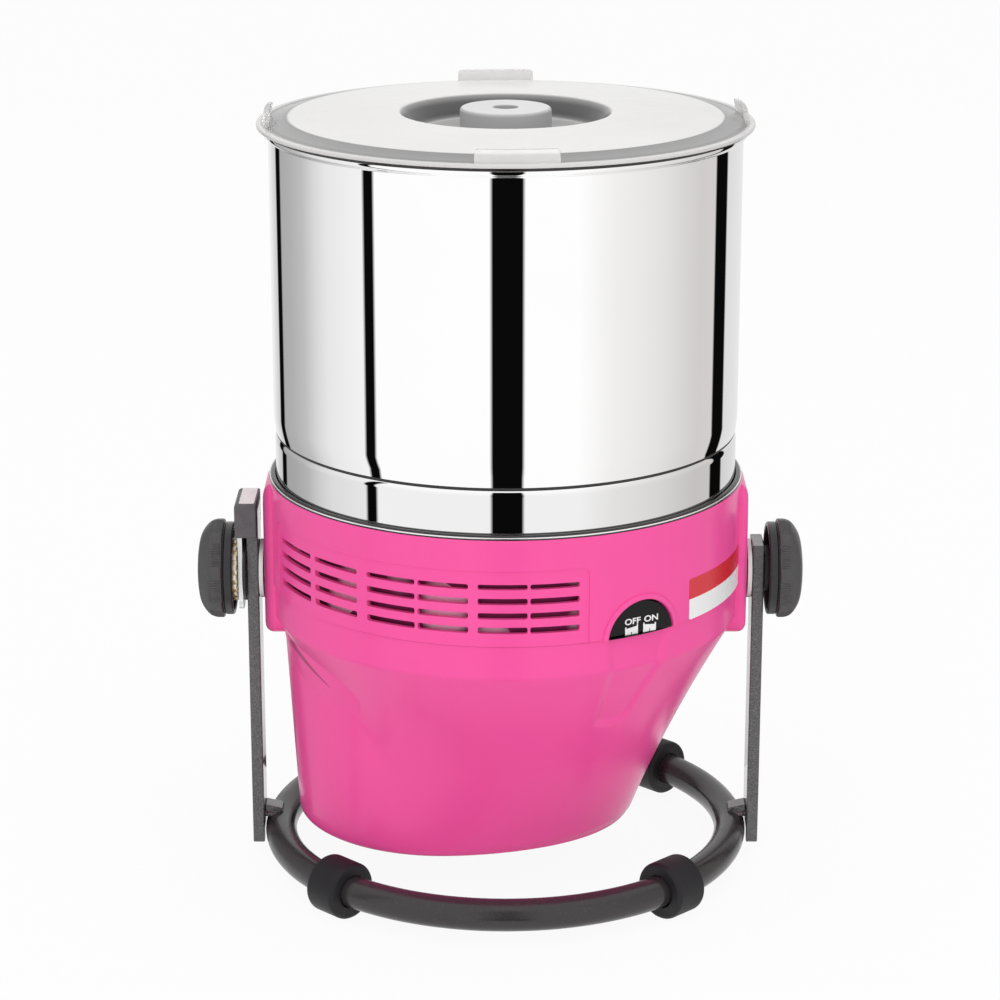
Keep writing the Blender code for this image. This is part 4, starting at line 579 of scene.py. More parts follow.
# Milky lid with painted shade: its tone rings darken the finger well, its wall, the bevel and thin lines at
# the flange's edges, standing in for shade and for the steel seen through.
LID_PAINTED_SHADE = BandedFinish("milky_lid_painted_shade", (0.96, 0.945, 0.94), 0.20, tone=0.035, tone_scale=9.0,
                         grain_depth=6e-6, settings=(("Transmission Weight", 0.06), ("IOR", 1.45)),
                         bands=((0.0, 0.62), (43.5, 0.60), (44.8, 0.24), (46.0, 0.085), (49.5, 0.11),
                                (51.3, 0.36), (52.4, 0.90), (106.2, 0.89), (107.3, 0.20), (108.6, 0.28),
                                (115.0, 0.33), (116.3, 0.22), (118.0, 0.24), (118.8, 0.62),
                                (119.8, 0.76), (120.8, 0.82), (121.7, 0.66)))
TAB_CLEAR = Finish("clear_tab_plastic", (0.985, 0.965, 0.967), 0.12, tone=0.01, grain_depth=4e-6,
                   settings=(("Transmission Weight", 0.62), ("IOR", 1.25)))
# Grey knob with painted shade: its eye and its sides are darker than its top.
GREY = BandedFinish("grey_knob_painted_shade", (0.74, 0.73, 0.74), 0.42, gloss=0.06, grain_scale=1400.0,
                    grain_depth=4e-5, bands=((0.0, 0.42), (5.9, 0.42), (6.5, 1.0), (21.0, 1.0),
                                             (22.2, 0.60), (23.0, 0.58)))
ZINC = Finish("bright_zinc", (0.90, 0.90, 0.90), 0.34, 1.0, tone=0.05, tone_scale=160.0, gloss=0.05,
              grain_scale=900.0, grain_depth=4e-6)
YELLOW = Finish("yellow_passivated_zinc", (0.86, 0.77, 0.57), 0.28, 1.0, tone=0.18, tone_scale=260.0,
                gloss=0.08, grain_scale=900.0)
GRANITE = FleckedFinish("grey_granite", (0.13, 0.13, 0.135), 0.62, tone=0.25, tone_scale=180.0, gloss=0.12,
                        grain_scale=1300.0, grain_depth=1.2e-4, fleck=(0.42, 0.42, 0.43),
                        fleck_scale=620.0, fleck_share=0.22, second=(0.018, 0.018, 0.02),
                        second_share=0.24)
NYLON = Finish("white_nylon", (0.84, 0.83, 0.81), 0.35, grain_scale=1000.0, grain_depth=2e-5)
CAST = Finish("cast_aluminium", (0.84, 0.84, 0.85), 0.16, 1.0, tone=0.1, tone_scale=90.0, gloss=0.08,
              grain_scale=260.0, grain_depth=1.8e-4)
IRON = Finish("grey_motor_iron", (0.24, 0.25, 0.27), 0.5, 1.0, tone=0.15, tone_scale=70.0, gloss=0.1,
              grain_scale=900.0, grain_depth=1.2e-4)
BRONZE = Finish("sintered_bronze", (0.50, 0.33, 0.17), 0.4, 1.0, tone=0.1, tone_scale=200.0,
                grain_scale=1800.0, grain_depth=6e-5)
BELT = Finish("belt_rubber", (0.018, 0.018, 0.018), 0.75, grain_scale=1600.0, grain_depth=1e-4)
PRINT_WHITE = Finish("white_print", (0.82, 0.82, 0.82), 0.5)
STICKER = LabelFinish("two_tone_sticker", (0.84, 0.84, 0.84), 0.3, tone=0.02)
BLANK_STICKER = Finish("blank_sticker", (0.86, 0.80, 0.80), 0.4, tone=0.05, tone_scale=300.0)


# ---------------------------------------------------------------------------------------------------
# Modelling
# ---------------------------------------------------------------------------------------------------

def facing(azimuth: float, distance: float, height: float) -> Matrix:
    """Place something on the drum's flank.

    Args:
        azimuth: Direction in degrees.
        distance: How far from the drum's axis.
        height: Height above the floor.

    Returns:
        A matrix whose x runs along the flank, y up and z straight out.
    """
    turn = math.radians(azimuth)
    place = Vector((distance * math.sin(turn), -distance * math.cos(turn), height))
    return Matrix.Translation(place) @ Matrix.Rotation(turn, 4, "Z") @ UPRIGHT


def across(side: Side, distance: float = 0.0) -> Matrix:
    """Return a place on the tilt axis: z points outwards, x to the back or the front and y up."""
    return facing(side.value * 90.0, distance, PIVOT)


class Workpiece:
    """A mesh in the making, in millimetres."""

    def __init__(self) -> None:
        """Start empty."""
        self.bm = bmesh.new()

    @classmethod
    def outline(cls, corners: Sequence[Corner], steps: int = 4) -> "Workpiece":
        """Start from one flat face whose corners may be rounded.

        Args:
            corners: (x, y) or (x, y, rounding) of each corner.
            steps: Segments of each rounding.

        Returns:
            The piece with its one face.
        """
        piece = cls()
        verts = [piece.bm.verts.new((corner[0], corner[1], 0)) for corner in corners]
        piece.bm.faces.new(verts)
        rounded: dict[float, list[bmesh.types.BMVert]] = {}
        for vert, corner in zip(verts, corners):
            if len(corner) > 2 and corner[2] > 0:
                rounded.setdefault(corner[2], []).append(vert)
        for width, chosen in rounded.items():
            bmesh.ops.bevel(piece.bm, geom=chosen, offset=width, offset_type="OFFSET", affect="VERTICES",
                            segments=steps, profile=0.5, material=-1)
        return piece

    @classmethod
    def lathe(cls, corners: Sequence[Corner], segments: int = 128, steps: int = 4) -> "Workpiece":
        """Spin a closed outline once around Z.

        Args:
            corners: (radius, height) or (radius, height, rounding) of each corner.
            segments: Steps of the spin.
            steps: Segments of each rounding.

        Returns:
            The closed piece.
        """
        piece = cls.outline(corners, steps)
        bm = piece.bm
        bmesh.ops.rotate(bm, verts=bm.verts, matrix=Matrix.Rotation(QUARTER, 3, "X"))
        bmesh.ops.delete(bm, geom=bm.faces[:], context="FACES_ONLY")
        inner = [edge for edge in bm.edges if all(abs(vert.co.x) < 1e-6 for vert in edge.verts)]
        bmesh.ops.delete(bm, geom=inner, context="EDGES")
        return piece.spun(segments)

    @classmethod
    def hoop(cls, radius: float, height: float, thickness: float, segments: int) -> "Workpiece":
        """Bend a round bar into a ring around Z.

        Args:
            radius: Radius of the ring's middle line.
            height: Height of the ring's middle line.
            thickness: Radius of the bar.
            segments: Corners of the bar's circle.

        Returns:
            The closed ring.
        """
        piece = cls()
        place = Matrix.Translation((radius, 0, height)) @ UPRIGHT
        bmesh.ops.create_circle(piece.bm, segments=segments, radius=thickness, matrix=place)
        return piece.spun(180)

    @classmethod
    def slab(cls, corners: Sequence[Corner], low: float, high: float, steps: int = 4) -> "Workpiece":
        """Extrude a closed outline along Z.

        Args:
            corners: (x, y) or (x, y, rounding) of each corner.
            low: Where the extrusion starts.
            high: Where it ends.
            steps: Segments of each rounding.

        Returns:
            The closed piece.
        """
        piece = cls.outline(corners, steps)
        bm = piece.bm
        bmesh.ops.translate(bm, verts=bm.verts, vec=(0, 0, low))
        grown = bmesh.ops.extrude_face_region(bm, geom=bm.faces[:])["geom"]
        bmesh.ops.translate(bm, vec=(0, 0, high - low),
                            verts=[item for item in grown if isinstance(item, bmesh.types.BMVert)])
        return piece.closed()

    @classmethod
    def oblong(cls, across_span: Span, up_span: Span, out_span: Span, rounds: Span = (0.0, 0.0),
               steps: int = 4) -> "Workpiece":
        """Make a slab with four corners.

        Args:
            across_span: From x to x.
            up_span: From y to y.
            out_span: From z to z.
            rounds: Rounding of the two lower and of the two upper corners.
            steps: Segments of each rounding.

        Returns:
            The closed piece.
        """
        (left, right), (low, high), (below, above) = across_span, up_span, rounds
        return cls.slab([(left, low, below), (right, low, below), (right, high, above), (left, high, above)],
                        *out_span, steps)

    @classmethod
    def block(cls, low: Sequence[float], high: Sequence[float], edge: float = 0.0) -> "Workpiece":
        """Make a block.

        Args:
            low: Its lowest corner.
            high: Its highest corner.
            edge: Rounding of its edges.

        Returns:
            The closed piece.
        """
        piece = cls()
        low, high = Vector(low), Vector(high)
        matrix = Matrix.Translation((low + high) / 2) @ Matrix.Diagonal((*(high - low), 1))
        bmesh.ops.create_cube(piece.bm, size=1, matrix=matrix)
        return piece.soften(edge) if edge else piece

    @classmethod
    def disc(cls, radius: float, span: Span, segments: int, place: Span = (0.0, 0.0)) -> "Workpiece":
        """Make a round slab.

        Args:
            radius: Its radius.
            span: From z to z.
            segments: Corners of its circle.
            place: Its middle in x and y.

        Returns:
            The closed piece.
        """
        piece = cls()
        bmesh.ops.create_cone(piece.bm, cap_ends=True, segments=segments, radius1=radius, radius2=radius,
                              depth=span[1] - span[0], matrix=Matrix.Translation((*place, sum(span) / 2)))
        return piece

    @classmethod
    def bore(cls, low: float, high: float) -> "Workpiece":
        """Make the plug that cuts a pivot bolt's hole, from distance to distance along Z."""
        return cls.lathe([(0, low), (BOLT, low), (BOLT, high), (0, high)], 32)

    def everything(self) -> list[Any]:
        """Return all vertices, edges and faces."""
        return self.bm.verts[:] + self.bm.edges[:] + self.bm.faces[:]

    def spun(self, steps: int) -> "Workpiece":
        """Spin the edges once around Z and close the skin that they leave."""
        bmesh.ops.spin(self.bm, geom=self.bm.verts[:] + self.bm.edges[:], cent=(0, 0, 0), axis=(0, 0, 1),
                       angle=FULL, steps=steps, use_merge=True)
        return self.closed()

    def closed(self) -> "Workpiece":
        """Merge doubles and point all faces outwards.

        Returns:
            The piece itself.
        """
        bmesh.ops.remove_doubles(self.bm, verts=self.bm.verts, dist=1e-4)
        bmesh.ops.recalc_face_normals(self.bm, faces=self.bm.faces)
        return self

    def soften(self, width: float, steps: int = 3, angle: float = 40.0,
               only: Callable[[bmesh.types.BMEdge], bool] | None = None) -> "Workpiece":
        """Round the edges that bend more than an angle.

        Args:
            width: How far the rounding reaches from the edge.
            steps: Segments of the rounding.
            angle: Least bend of an edge, in degrees.
            only: Says which of those edges are taken.

        Returns:
            The piece itself.
        """
        limit = math.radians(angle)
        edges = [edge for edge in self.bm.edges if len(edge.link_faces) == 2
                 and edge.calc_face_angle(0.0) > limit and (only is None or only(edge))]
        bmesh.ops.bevel(self.bm, geom=edges, offset=width, offset_type="OFFSET", affect="EDGES",
                        segments=steps, profile=0.5, material=-1, clamp_overlap=True)
        return self.closed()

    def moved(self, matrix: Matrix) -> "Workpiece":
        """Place the piece.

        Args:
            matrix: Where it goes; a mirroring one has its normals put right.

        Returns:
            The piece itself.
        """
        bmesh.ops.transform(self.bm, matrix=matrix, verts=self.bm.verts)
        if matrix.determinant() < 0:
            bmesh.ops.recalc_face_normals(self.bm, faces=self.bm.faces)
        return self

    def joined(self, other: "Workpiece") -> "Workpiece":
        """Add the mesh of another piece, which is used up.

        Args:
            other: The other piece.

        Returns:
            The piece itself.
        """
        mesh = bpy.data.meshes.new("part")
        other.bm.to_mesh(mesh)
        self.bm.from_mesh(mesh)
        other.bm.free()
        bpy.data.meshes.remove(mesh)
        return self

    def combined(self, other: "Workpiece", operation: str = "DIFFERENCE") -> "Workpiece":
        """Cut or join another piece with a Boolean.

        Args:
            other: The other piece, which is used up.
            operation: The Boolean's operation.

        Returns:
            The piece itself.
        """
        items = [piece.released("part") for piece in (self, other)]
        modifier = items[0].modifiers.new("shape", "BOOLEAN")
        modifier.operation, modifier.solver, modifier.object = operation, "EXACT", items[1]
        self.bm = bmesh.new()
        self.bm.from_object(items[0], bpy.context.evaluated_depsgraph_get())
        for item in items:
            mesh = item.data
            bpy.data.objects.remove(item)
            bpy.data.meshes.remove(mesh)
        return self

    def trimmed(self, place: Sequence[float], away: Sequence[float]) -> list[bmesh.types.BMEdge]:
        """Cut off what lies past a plane.

        Args:
            place: A point of the plane.
            away: The plane's normal, towards what is cut off.

        Returns:
            The edges around the opening.
        """
        cut = bmesh.ops.bisect_plane(self.bm, geom=self.everything(), plane_co=place, plane_no=away,
                                     dist=NEAR, clear_outer=True)
        return [item for item in cut["geom_cut"] if isinstance(item, bmesh.types.BMEdge)]

    def sliced(self, step: float, low: float, high: float, axis: int = 0) -> "Workpiece":
        """Cut the mesh across one axis at even steps, so that it can bend.

        Args:
            step: About how far the cuts are apart.
            low: Where the piece starts along the axis.
            high: Where it ends.
            axis: 0 for x, 1 for y and 2 for z.

        Returns:
            The piece itself.
        """
        count = max(1, round((high - low) / step))
        normal = Vector([1.0 if index == axis else 0.0 for index in range(3)])
        for index in range(1, count):
            place = normal * (low + (high - low) * index / count)
            bmesh.ops.bisect_plane(self.bm, geom=self.everything(), dist=NEAR, plane_co=place,
                                   plane_no=normal)
        return self

    def wrapped(self, radius: float, azimuth: float = 0.0, step: float = 4.0) -> "Workpiece":
        """Bend a flat pattern of (along, up, out) around the drum's axis.

        Args:
            radius: The radius that keeps its length.
            azimuth: Where the pattern's x = 0 comes to lie, in degrees.
            step: About how long the bent pieces are.

        Returns:
            The piece itself.
        """
        spans = [vert.co.x for vert in self.bm.verts]
        self.sliced(step, min(spans), max(spans))
        start = math.radians(azimuth)
        for vert in self.bm.verts:
            turn, reach = start + vert.co.x / radius, radius + vert.co.z
            vert.co = (reach * math.sin(turn), -reach * math.cos(turn), vert.co.y)
        return self.closed()

    def grooved(self, depth: float, chosen: Callable[[float, float, float], bool]) -> "Workpiece":
        """Press chosen vertices in towards Z.

        Args:
            depth: How far they go in.
            chosen: Says from its distance, turn and height whether a vertex goes in.

        Returns:
            The piece itself.
        """
        for vert in self.bm.verts:
            reach, turn = math.hypot(vert.co.x, vert.co.y), math.atan2(vert.co.y, vert.co.x) % FULL
            if chosen(reach, turn, vert.co.z):
                vert.co.x *= 1 - depth / reach
                vert.co.y *= 1 - depth / reach
        return self

    def released(self, name: str) -> bpy.types.Object:
        """Turn the mesh into an object in the scene, and end the piece.

        Args:
            name: The object's name.

        Returns:
            The object.
        """
        mesh = bpy.data.meshes.new(name)
        self.bm.to_mesh(mesh)
        self.bm.free()
        item = bpy.data.objects.new(name, mesh)
        bpy.context.scene.collection.objects.link(item)
        return item

    def finish(self, name: str, look: Finish, body: str, replaces: Iterable[str] = (),
               slot: Slot | None = None, sharp: float = 35.0) -> bpy.types.Object:
        """Make the piece an object on its body.

        Args:
            name: The piece's name.
            look: Its finish.
            body: The CAD body that it rides on.
            replaces: The CAD nodes that it stands for.
            slot: Not used; the record's material slot that its finish belongs to.
            sharp: Edges that bend more than this are drawn sharp, in degrees.

        Returns:
            The object, at the origin with its place in its mesh.
        """
        self.moved(Matrix.Scale(MM, 4) @ Matrix.Translation((AXIS_X, 0, 0)))
        item = self.released(name)
        item.data.shade_smooth()
        item.data.set_sharp_from_angle(angle=math.radians(sharp))
        item.data.materials.append(look.material())
        item.modifiers.new("even_normals", "WEIGHTED_NORMAL").keep_sharp = True
        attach(item, body)
        nodes = tuple(replaces)
        if nodes:
            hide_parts(*nodes)
        log.info("%s: %d faces on %s", name, len(item.data.polygons), body)
        return item


def lettering(text: str, size: float, thickness: float) -> Workpiece:
    """Set bold words as a mesh.

    Args:
        text: The words.
        size: The height of the type.
        thickness: How thick the letters are.

    Returns:
        The letters around their own middle, facing +Z.
    """
    curve = bpy.data.curves.new("words", "FONT")
    curve.body, curve.size, curve.extrude = text, size, thickness / 2
    curve.align_x, curve.align_y, curve.offset = "CENTER", "CENTER", size * 0.022
    item = bpy.data.objects.new("words", curve)
    bpy.context.scene.collection.objects.link(item)
    mesh = bpy.data.meshes.new_from_object(item.evaluated_get(bpy.context.evaluated_depsgraph_get()))
    piece = Workpiece()
    piece.bm.from_mesh(mesh)
    bpy.data.objects.remove(item)
    bpy.data.curves.remove(curve)
    bpy.data.meshes.remove(mesh)
    return piece.closed()


# ---------------------------------------------------------------------------------------------------
# Sub-assemblies
# ---------------------------------------------------------------------------------------------------

@dataclass
class Stand:
    """The tube ring with its rubber sleeves, the flat uprights and their weld tabs."""

    ring_radius: float = 117.0
    ring_height: float = 13.9
    tube: float = 8.0
    foot_bore: float = 8.15
    foot_radius: float = 14.5
    foot_length: float = 19.0
    foot_edge: float = 2.2
    feet: dict[str, float] = field(default_factory=lambda: {
        "foot_front_left": -45.0, "foot_front_right": 45.0, "foot_rear_left": -135.0,
        "foot_rear_right": 135.0})
    bar_inner: float = 125.3
    bar_outer: float = 131.3
    bar_half: float = 10.5
    bar_foot: float = 7.0
    bar_edge: float = 0.7
    tops: dict[Side, float] = field(default_factory=lambda: {Side.LEFT: 188.1, Side.RIGHT: 169.0})
    tab_sink: float = 1.4
    tab_reach: float = 9.5
    tab_half: float = 5.2
    weld_beads: int = 6
    weld_radius: float = 1.5
    washer_radius: float = 16.5
    washer_back: float = 131.6
    washer_face: float = 133.3

    def build(self) -> None:
        """Make every piece of the stand."""
        ring = Workpiece.hoop(self.ring_radius, self.ring_height, self.tube, 40)
        ring.finish("tube_ring", TUBE_PAINT, "stand", ["base_ring"], Slot.FRAME)
        for name, azimuth in self.feet.items():
            self.make_foot(name, azimuth)
        for side in Side:
            self.make_bar(side)
            self.make_tab(side)
        outline = [(BOLT, self.washer_back), (self.washer_radius, self.washer_back, 0.4),
                   (self.washer_radius, self.washer_face, 0.4), (BOLT, self.washer_face)]
        washer = Workpiece.lathe(outline, 64).moved(across(Side.LEFT))
        washer.finish("spacer_washer", BLACK, "stand", ["thrust_washer"], Slot.BLACK)

    def make_foot(self, name: str, azimuth: float) -> None:
        """Push one rubber sleeve onto the ring and flatten it on the floor.

        Args:
            name: The CAD node that it stands for.
            azimuth: Its place on the ring, in degrees.
        """
        half, edge = self.foot_length / 2, self.foot_edge
        outline = [(self.foot_bore, -half, 0.5), (self.foot_radius, -half, edge),
                   (self.foot_radius, half, edge), (self.foot_bore, half, 0.5)]
        sleeve = Workpiece.lathe(outline, 64, 5)
        turn = math.radians(azimuth)
        place = Vector((self.ring_radius * math.sin(turn), -self.ring_radius * math.cos(turn),
                        self.ring_height))
        sleeve.moved(Matrix.Translation(place) @ Matrix.Rotation(turn, 4, "Z")
                     @ Matrix.Rotation(QUARTER, 4, "Y"))
        bmesh.ops.contextual_create(sleeve.bm, geom=sleeve.trimmed((0, 0, 0), (0, 0, -1)))
        sleeve.closed().finish(name + "_sleeve", RUBBER, "stand", [name], Slot.FOOT)

    def make_bar(self, side: Side) -> None:
        """Make a flat upright with its pivot hole.

        Args:
            side: Its side.
        """
        inner, outer = sorted((side.value * self.bar_inner, side.value * self.bar_outer))
        bar = Workpiece.block((inner, -self.bar_half, self.bar_foot), (outer, self.bar_half, self.tops[side]))
        bar.combined(Workpiece.bore(120.0, 136.0).moved(across(side)))
        bar.soften(self.bar_edge, 3, 60.0, lambda edge: edge.calc_length() > 4.0)
        name = side.name.lower()
        bar.finish("flat_bar_" + name, COAT, "stand", ["upright_" + name], Slot.FRAME)

    def make_tab(self, side: Side) -> None:
        """Make the tab that is welded between a bar's foot and the ring, with its beads.

        Args:
            side: Its side.
        """
        seat = self.ring_height + self.tube - self.tab_sink
        root, tip = side.value * (self.bar_inner + 0.1), side.value * (self.bar_inner - self.tab_reach)
        corners = [(root, seat), (root, seat + 5.4, 1.0), (tip, seat + 3.2, 1.6), (tip, seat - 1.5)]
        tab = Workpiece.slab(corners, -self.tab_half, self.tab_half, 5).soften(1.0, 3, 50.0)
        tab.moved(UPRIGHT)
        for number in range(self.weld_beads):
            along = root + (tip - root) * (number + 0.4) / self.weld_beads
            for edge in (-self.tab_half, self.tab_half):
                bead = Workpiece()
                place = Matrix.Translation((along, edge * 1.02, seat + 0.5 - 0.25 * number))
                bmesh.ops.create_icosphere(bead.bm, subdivisions=3, radius=self.weld_radius, matrix=place)
                tab.joined(bead)
        name = side.name.lower()
        tab.finish("welded_tab_" + name, COAT, "stand", ["weld_tab_" + name], Slot.FRAME)


@dataclass
class Lock:
    """The sliding cap with its plate, and the toothed disc that the plate's tooth drops into."""

    cap_low: Corner = (-136.8, -14.2, 174.0)
    cap_high: Corner = (-125.6, 15.6, 192.0)
    cap_edge: float = 0.8
    slot_half: float = 9.6
    slot_top: float = 184.5
    well_left: float = -136.1
    well_half: float = 10.8
    well_top: float = 188.3
    sticker_across: Span = (-134.4, -126.7)
    sticker_along: Span = (-12.8, 14.4)
    plate_back: float = 133.6
    plate_face: float = 135.9
    plate_half: float = 9.0
    plate_low: float = 133.0
    plate_high: float = 188.1
    plate_round: float = 7.5
    slide: float = 4.0
    tooth: Span = (167.6, 171.0)
    tooth_half: float = 3.0
    disc_back: float = 136.2
    disc_face: float = 141.2
    disc_radius: float = 16.5
    disc_root: float = 15.1
    teeth: int = 20
    recess: Span = (13.3, 19.0)
    recess_start: float = 75.6
    recess_angle: float = 118.8

    def build(self) -> None:
        """Make every piece of the lock."""
        self.make_cap()
        self.make_plate()
        self.make_disc()

    def make_cap(self) -> None:
        """Make the cap, hollow over the bar and open beside the knob, with a blank sticker on top."""
        (left, front, low), (right, back, high) = self.cap_low, self.cap_high
        corners = [(left, low), (right, low), (right, high, 0.8), (left, high, 2.0)]
        cap = Workpiece.slab(corners, -back, -front, 5).moved(UPRIGHT)
        cap.soften(self.cap_edge, 3, 60.0)
        side_slot = Workpiece.block((left - 1, -self.slot_half, low - 1),
                                    (left + 0.5, self.slot_half, self.slot_top), 0.3)
        well = Workpiece.block((self.well_left, -self.well_half, low - 4),
                               (right + 3.6, self.well_half, self.well_top))
        cap.combined(side_slot).combined(well)
        cap.finish("slider_cap", CAP_BLACK, "lock_slider", ["lock_cap"], Slot.BLACK)
        sticker = Workpiece.oblong(self.sticker_across, self.sticker_along, (high - 0.02, high + 0.12),
                                   (0.8, 0.8))
        sticker.finish("cap_sticker", BLANK_STICKER, "lock_slider")

    def make_plate(self) -> None:
        """Make the zinc plate with its round lower end, its slot and its tooth."""
        half = self.plate_half
        plate = Workpiece.oblong((-half, half), (self.plate_low - PIVOT, self.plate_high - PIVOT),
                                 (self.plate_back, self.plate_face), (self.plate_round, 0.0), 8)
        slot = Workpiece.oblong((-BOLT, BOLT), (-BOLT - self.slide, BOLT), (130.0, 140.0), (4.2, 4.2), 6)
        tooth = Workpiece.block((-self.tooth_half, self.tooth[0] - PIVOT, self.plate_face - 1),
                                (self.tooth_half, self.tooth[1] - PIVOT, self.disc_face), 0.4)
        plate.combined(slot).combined(tooth, "UNION")
        plate.soften(0.35, 2, 60.0, lambda edge: edge.calc_length() > 0.6).moved(across(Side.LEFT))
        plate.finish("slider_plate", ZINC, "lock_slider", ["lock_plate"], Slot.ZINC)

    def make_disc(self) -> None:
        """Make the disc with its square teeth and the long recess for the tooth."""
        blank = Workpiece.lathe([(BOLT, self.disc_back), (self.disc_radius, self.disc_back, 0.5),
                                 (self.disc_radius, self.disc_face, 0.5), (BOLT, self.disc_face, 0.3)], 80, 2)
        gaps = Workpiece()
        back, face, edge = self.disc_back - 1, self.disc_face + 1, self.disc_radius + 2
        for index in range(self.teeth):
            gap = Workpiece.slab([(self.disc_root, -1.15), (edge, -1.45), (edge, 1.45),
                                  (self.disc_root, 1.15)], back, face)
            gaps.joined(gap.moved(Matrix.Rotation((index + 0.5) * FULL / self.teeth, 4, "Z")))
        inner, outer = self.recess
        recess = Workpiece.outline([(inner, back), (outer, back), (outer, face), (inner, face)])
        recess.moved(Matrix.Rotation(math.radians(self.recess_start), 4, "Z") @ UPRIGHT)
        bmesh.ops.spin(recess.bm, geom=recess.everything(), cent=(0, 0, 0), axis=(0, 0, 1),
                       angle=math.radians(self.recess_angle), steps=36)
        blank.combined(gaps).combined(recess.closed()).moved(across(Side.LEFT))
        blank.finish("toothed_disc", YELLOW, "housing", ["index_disc"], Slot.YELLOW)


@dataclass
class ClampKnob:
    """One of the two clamping knobs, measured from its flange outwards, with its washer at the ear."""

    side: Side
    back: float
    hub_face: float
    length: float = 18.6
    patch_turn: float = 15.0
    radius: float = 25.2
    flange: float = 4.6
    flange_inset: float = 1.5
    flange_wall: float = 2.1
    groove: float = 0.6
    groove_depth: float = 0.9
    band: float = 5.4
    dish: float = 5.5
    hub_radius: float = 11.5
    segments: int = 240
    patches: int = 8
    patch_half: float = 0.31
    rib: float = 0.5
    washer_radius: float = 15.0
    washer: Span = (122.8, 125.0)

    def build(self) -> None:
        """Turn the knob, its flange and its washer."""
        name, body = self.side.name.lower(), self.side.name.lower() + "_knob"
        low, top = self.flange + self.groove, self.length
        corners = [(0, self.dish + 3), (BOLT, self.dish + 3), (BOLT, low), (self.radius, low, 0.8),
                   (self.radius, low + self.band, 2.4), (self.radius - 4.2, top - 2.6, 4.5),
                   (self.radius - 12.5, top - 0.35, 4.0), (0, top)]
        knob = Workpiece.lathe(corners, self.segments, 5).grooved(self.rib, self.in_rib)
        knob.moved(across(self.side, self.back))
        knob.finish("clamp_knob_" + name, KNOB_BLACK, body, ["knob_" + name], Slot.BLACK, 50.0)
        rim = self.radius - self.flange_inset
        dish, root = rim - self.flange_wall, rim - self.groove_depth
        corners = [(BOLT, low), (BOLT, self.hub_face), (self.hub_radius, self.hub_face, 0.5),
                   (self.hub_radius, self.dish), (dish, self.dish), (dish, 0, 0.6), (rim, 0, 1.0),
                   (rim, self.flange, 1.0), (root, self.flange + 0.1), (root, low)]
        collar = Workpiece.lathe(corners, 128, 5).moved(across(self.side, self.back))
        collar.finish("knob_flange_" + name, BLACK, body)
        back, face = self.washer
        washer = Workpiece.lathe([(BOLT, back), (self.washer_radius, back, 0.3),
                                  (self.washer_radius, face, 0.3), (BOLT, face)], 64, 2)
        washer.moved(across(self.side))
        washer.finish("pivot_washer_" + name, NYLON, "housing", ["ear_washer_" + name], Slot.NYLON)

    def in_rib(self, reach: float, turn: float, height: float) -> bool:
        """Say whether a place on the rim is a groove between two ribs of a grip patch.

        Args:
            reach: Its distance from the knob's axis.
            turn: Its direction around it, in radians.
            height: Its height over the flange.

        Returns:
            True for every other line inside each patch.
        """
        low = self.flange + self.groove
        if reach < self.radius - 1.0 or not low + 0.2 < height < low + self.band + 1.5:
            return False
        share = ((turn - math.radians(self.patch_turn)) * self.patches / FULL) % 1.0
        return min(share, 1 - share) < self.patch_half and round(turn * self.segments / FULL) % 2 == 1


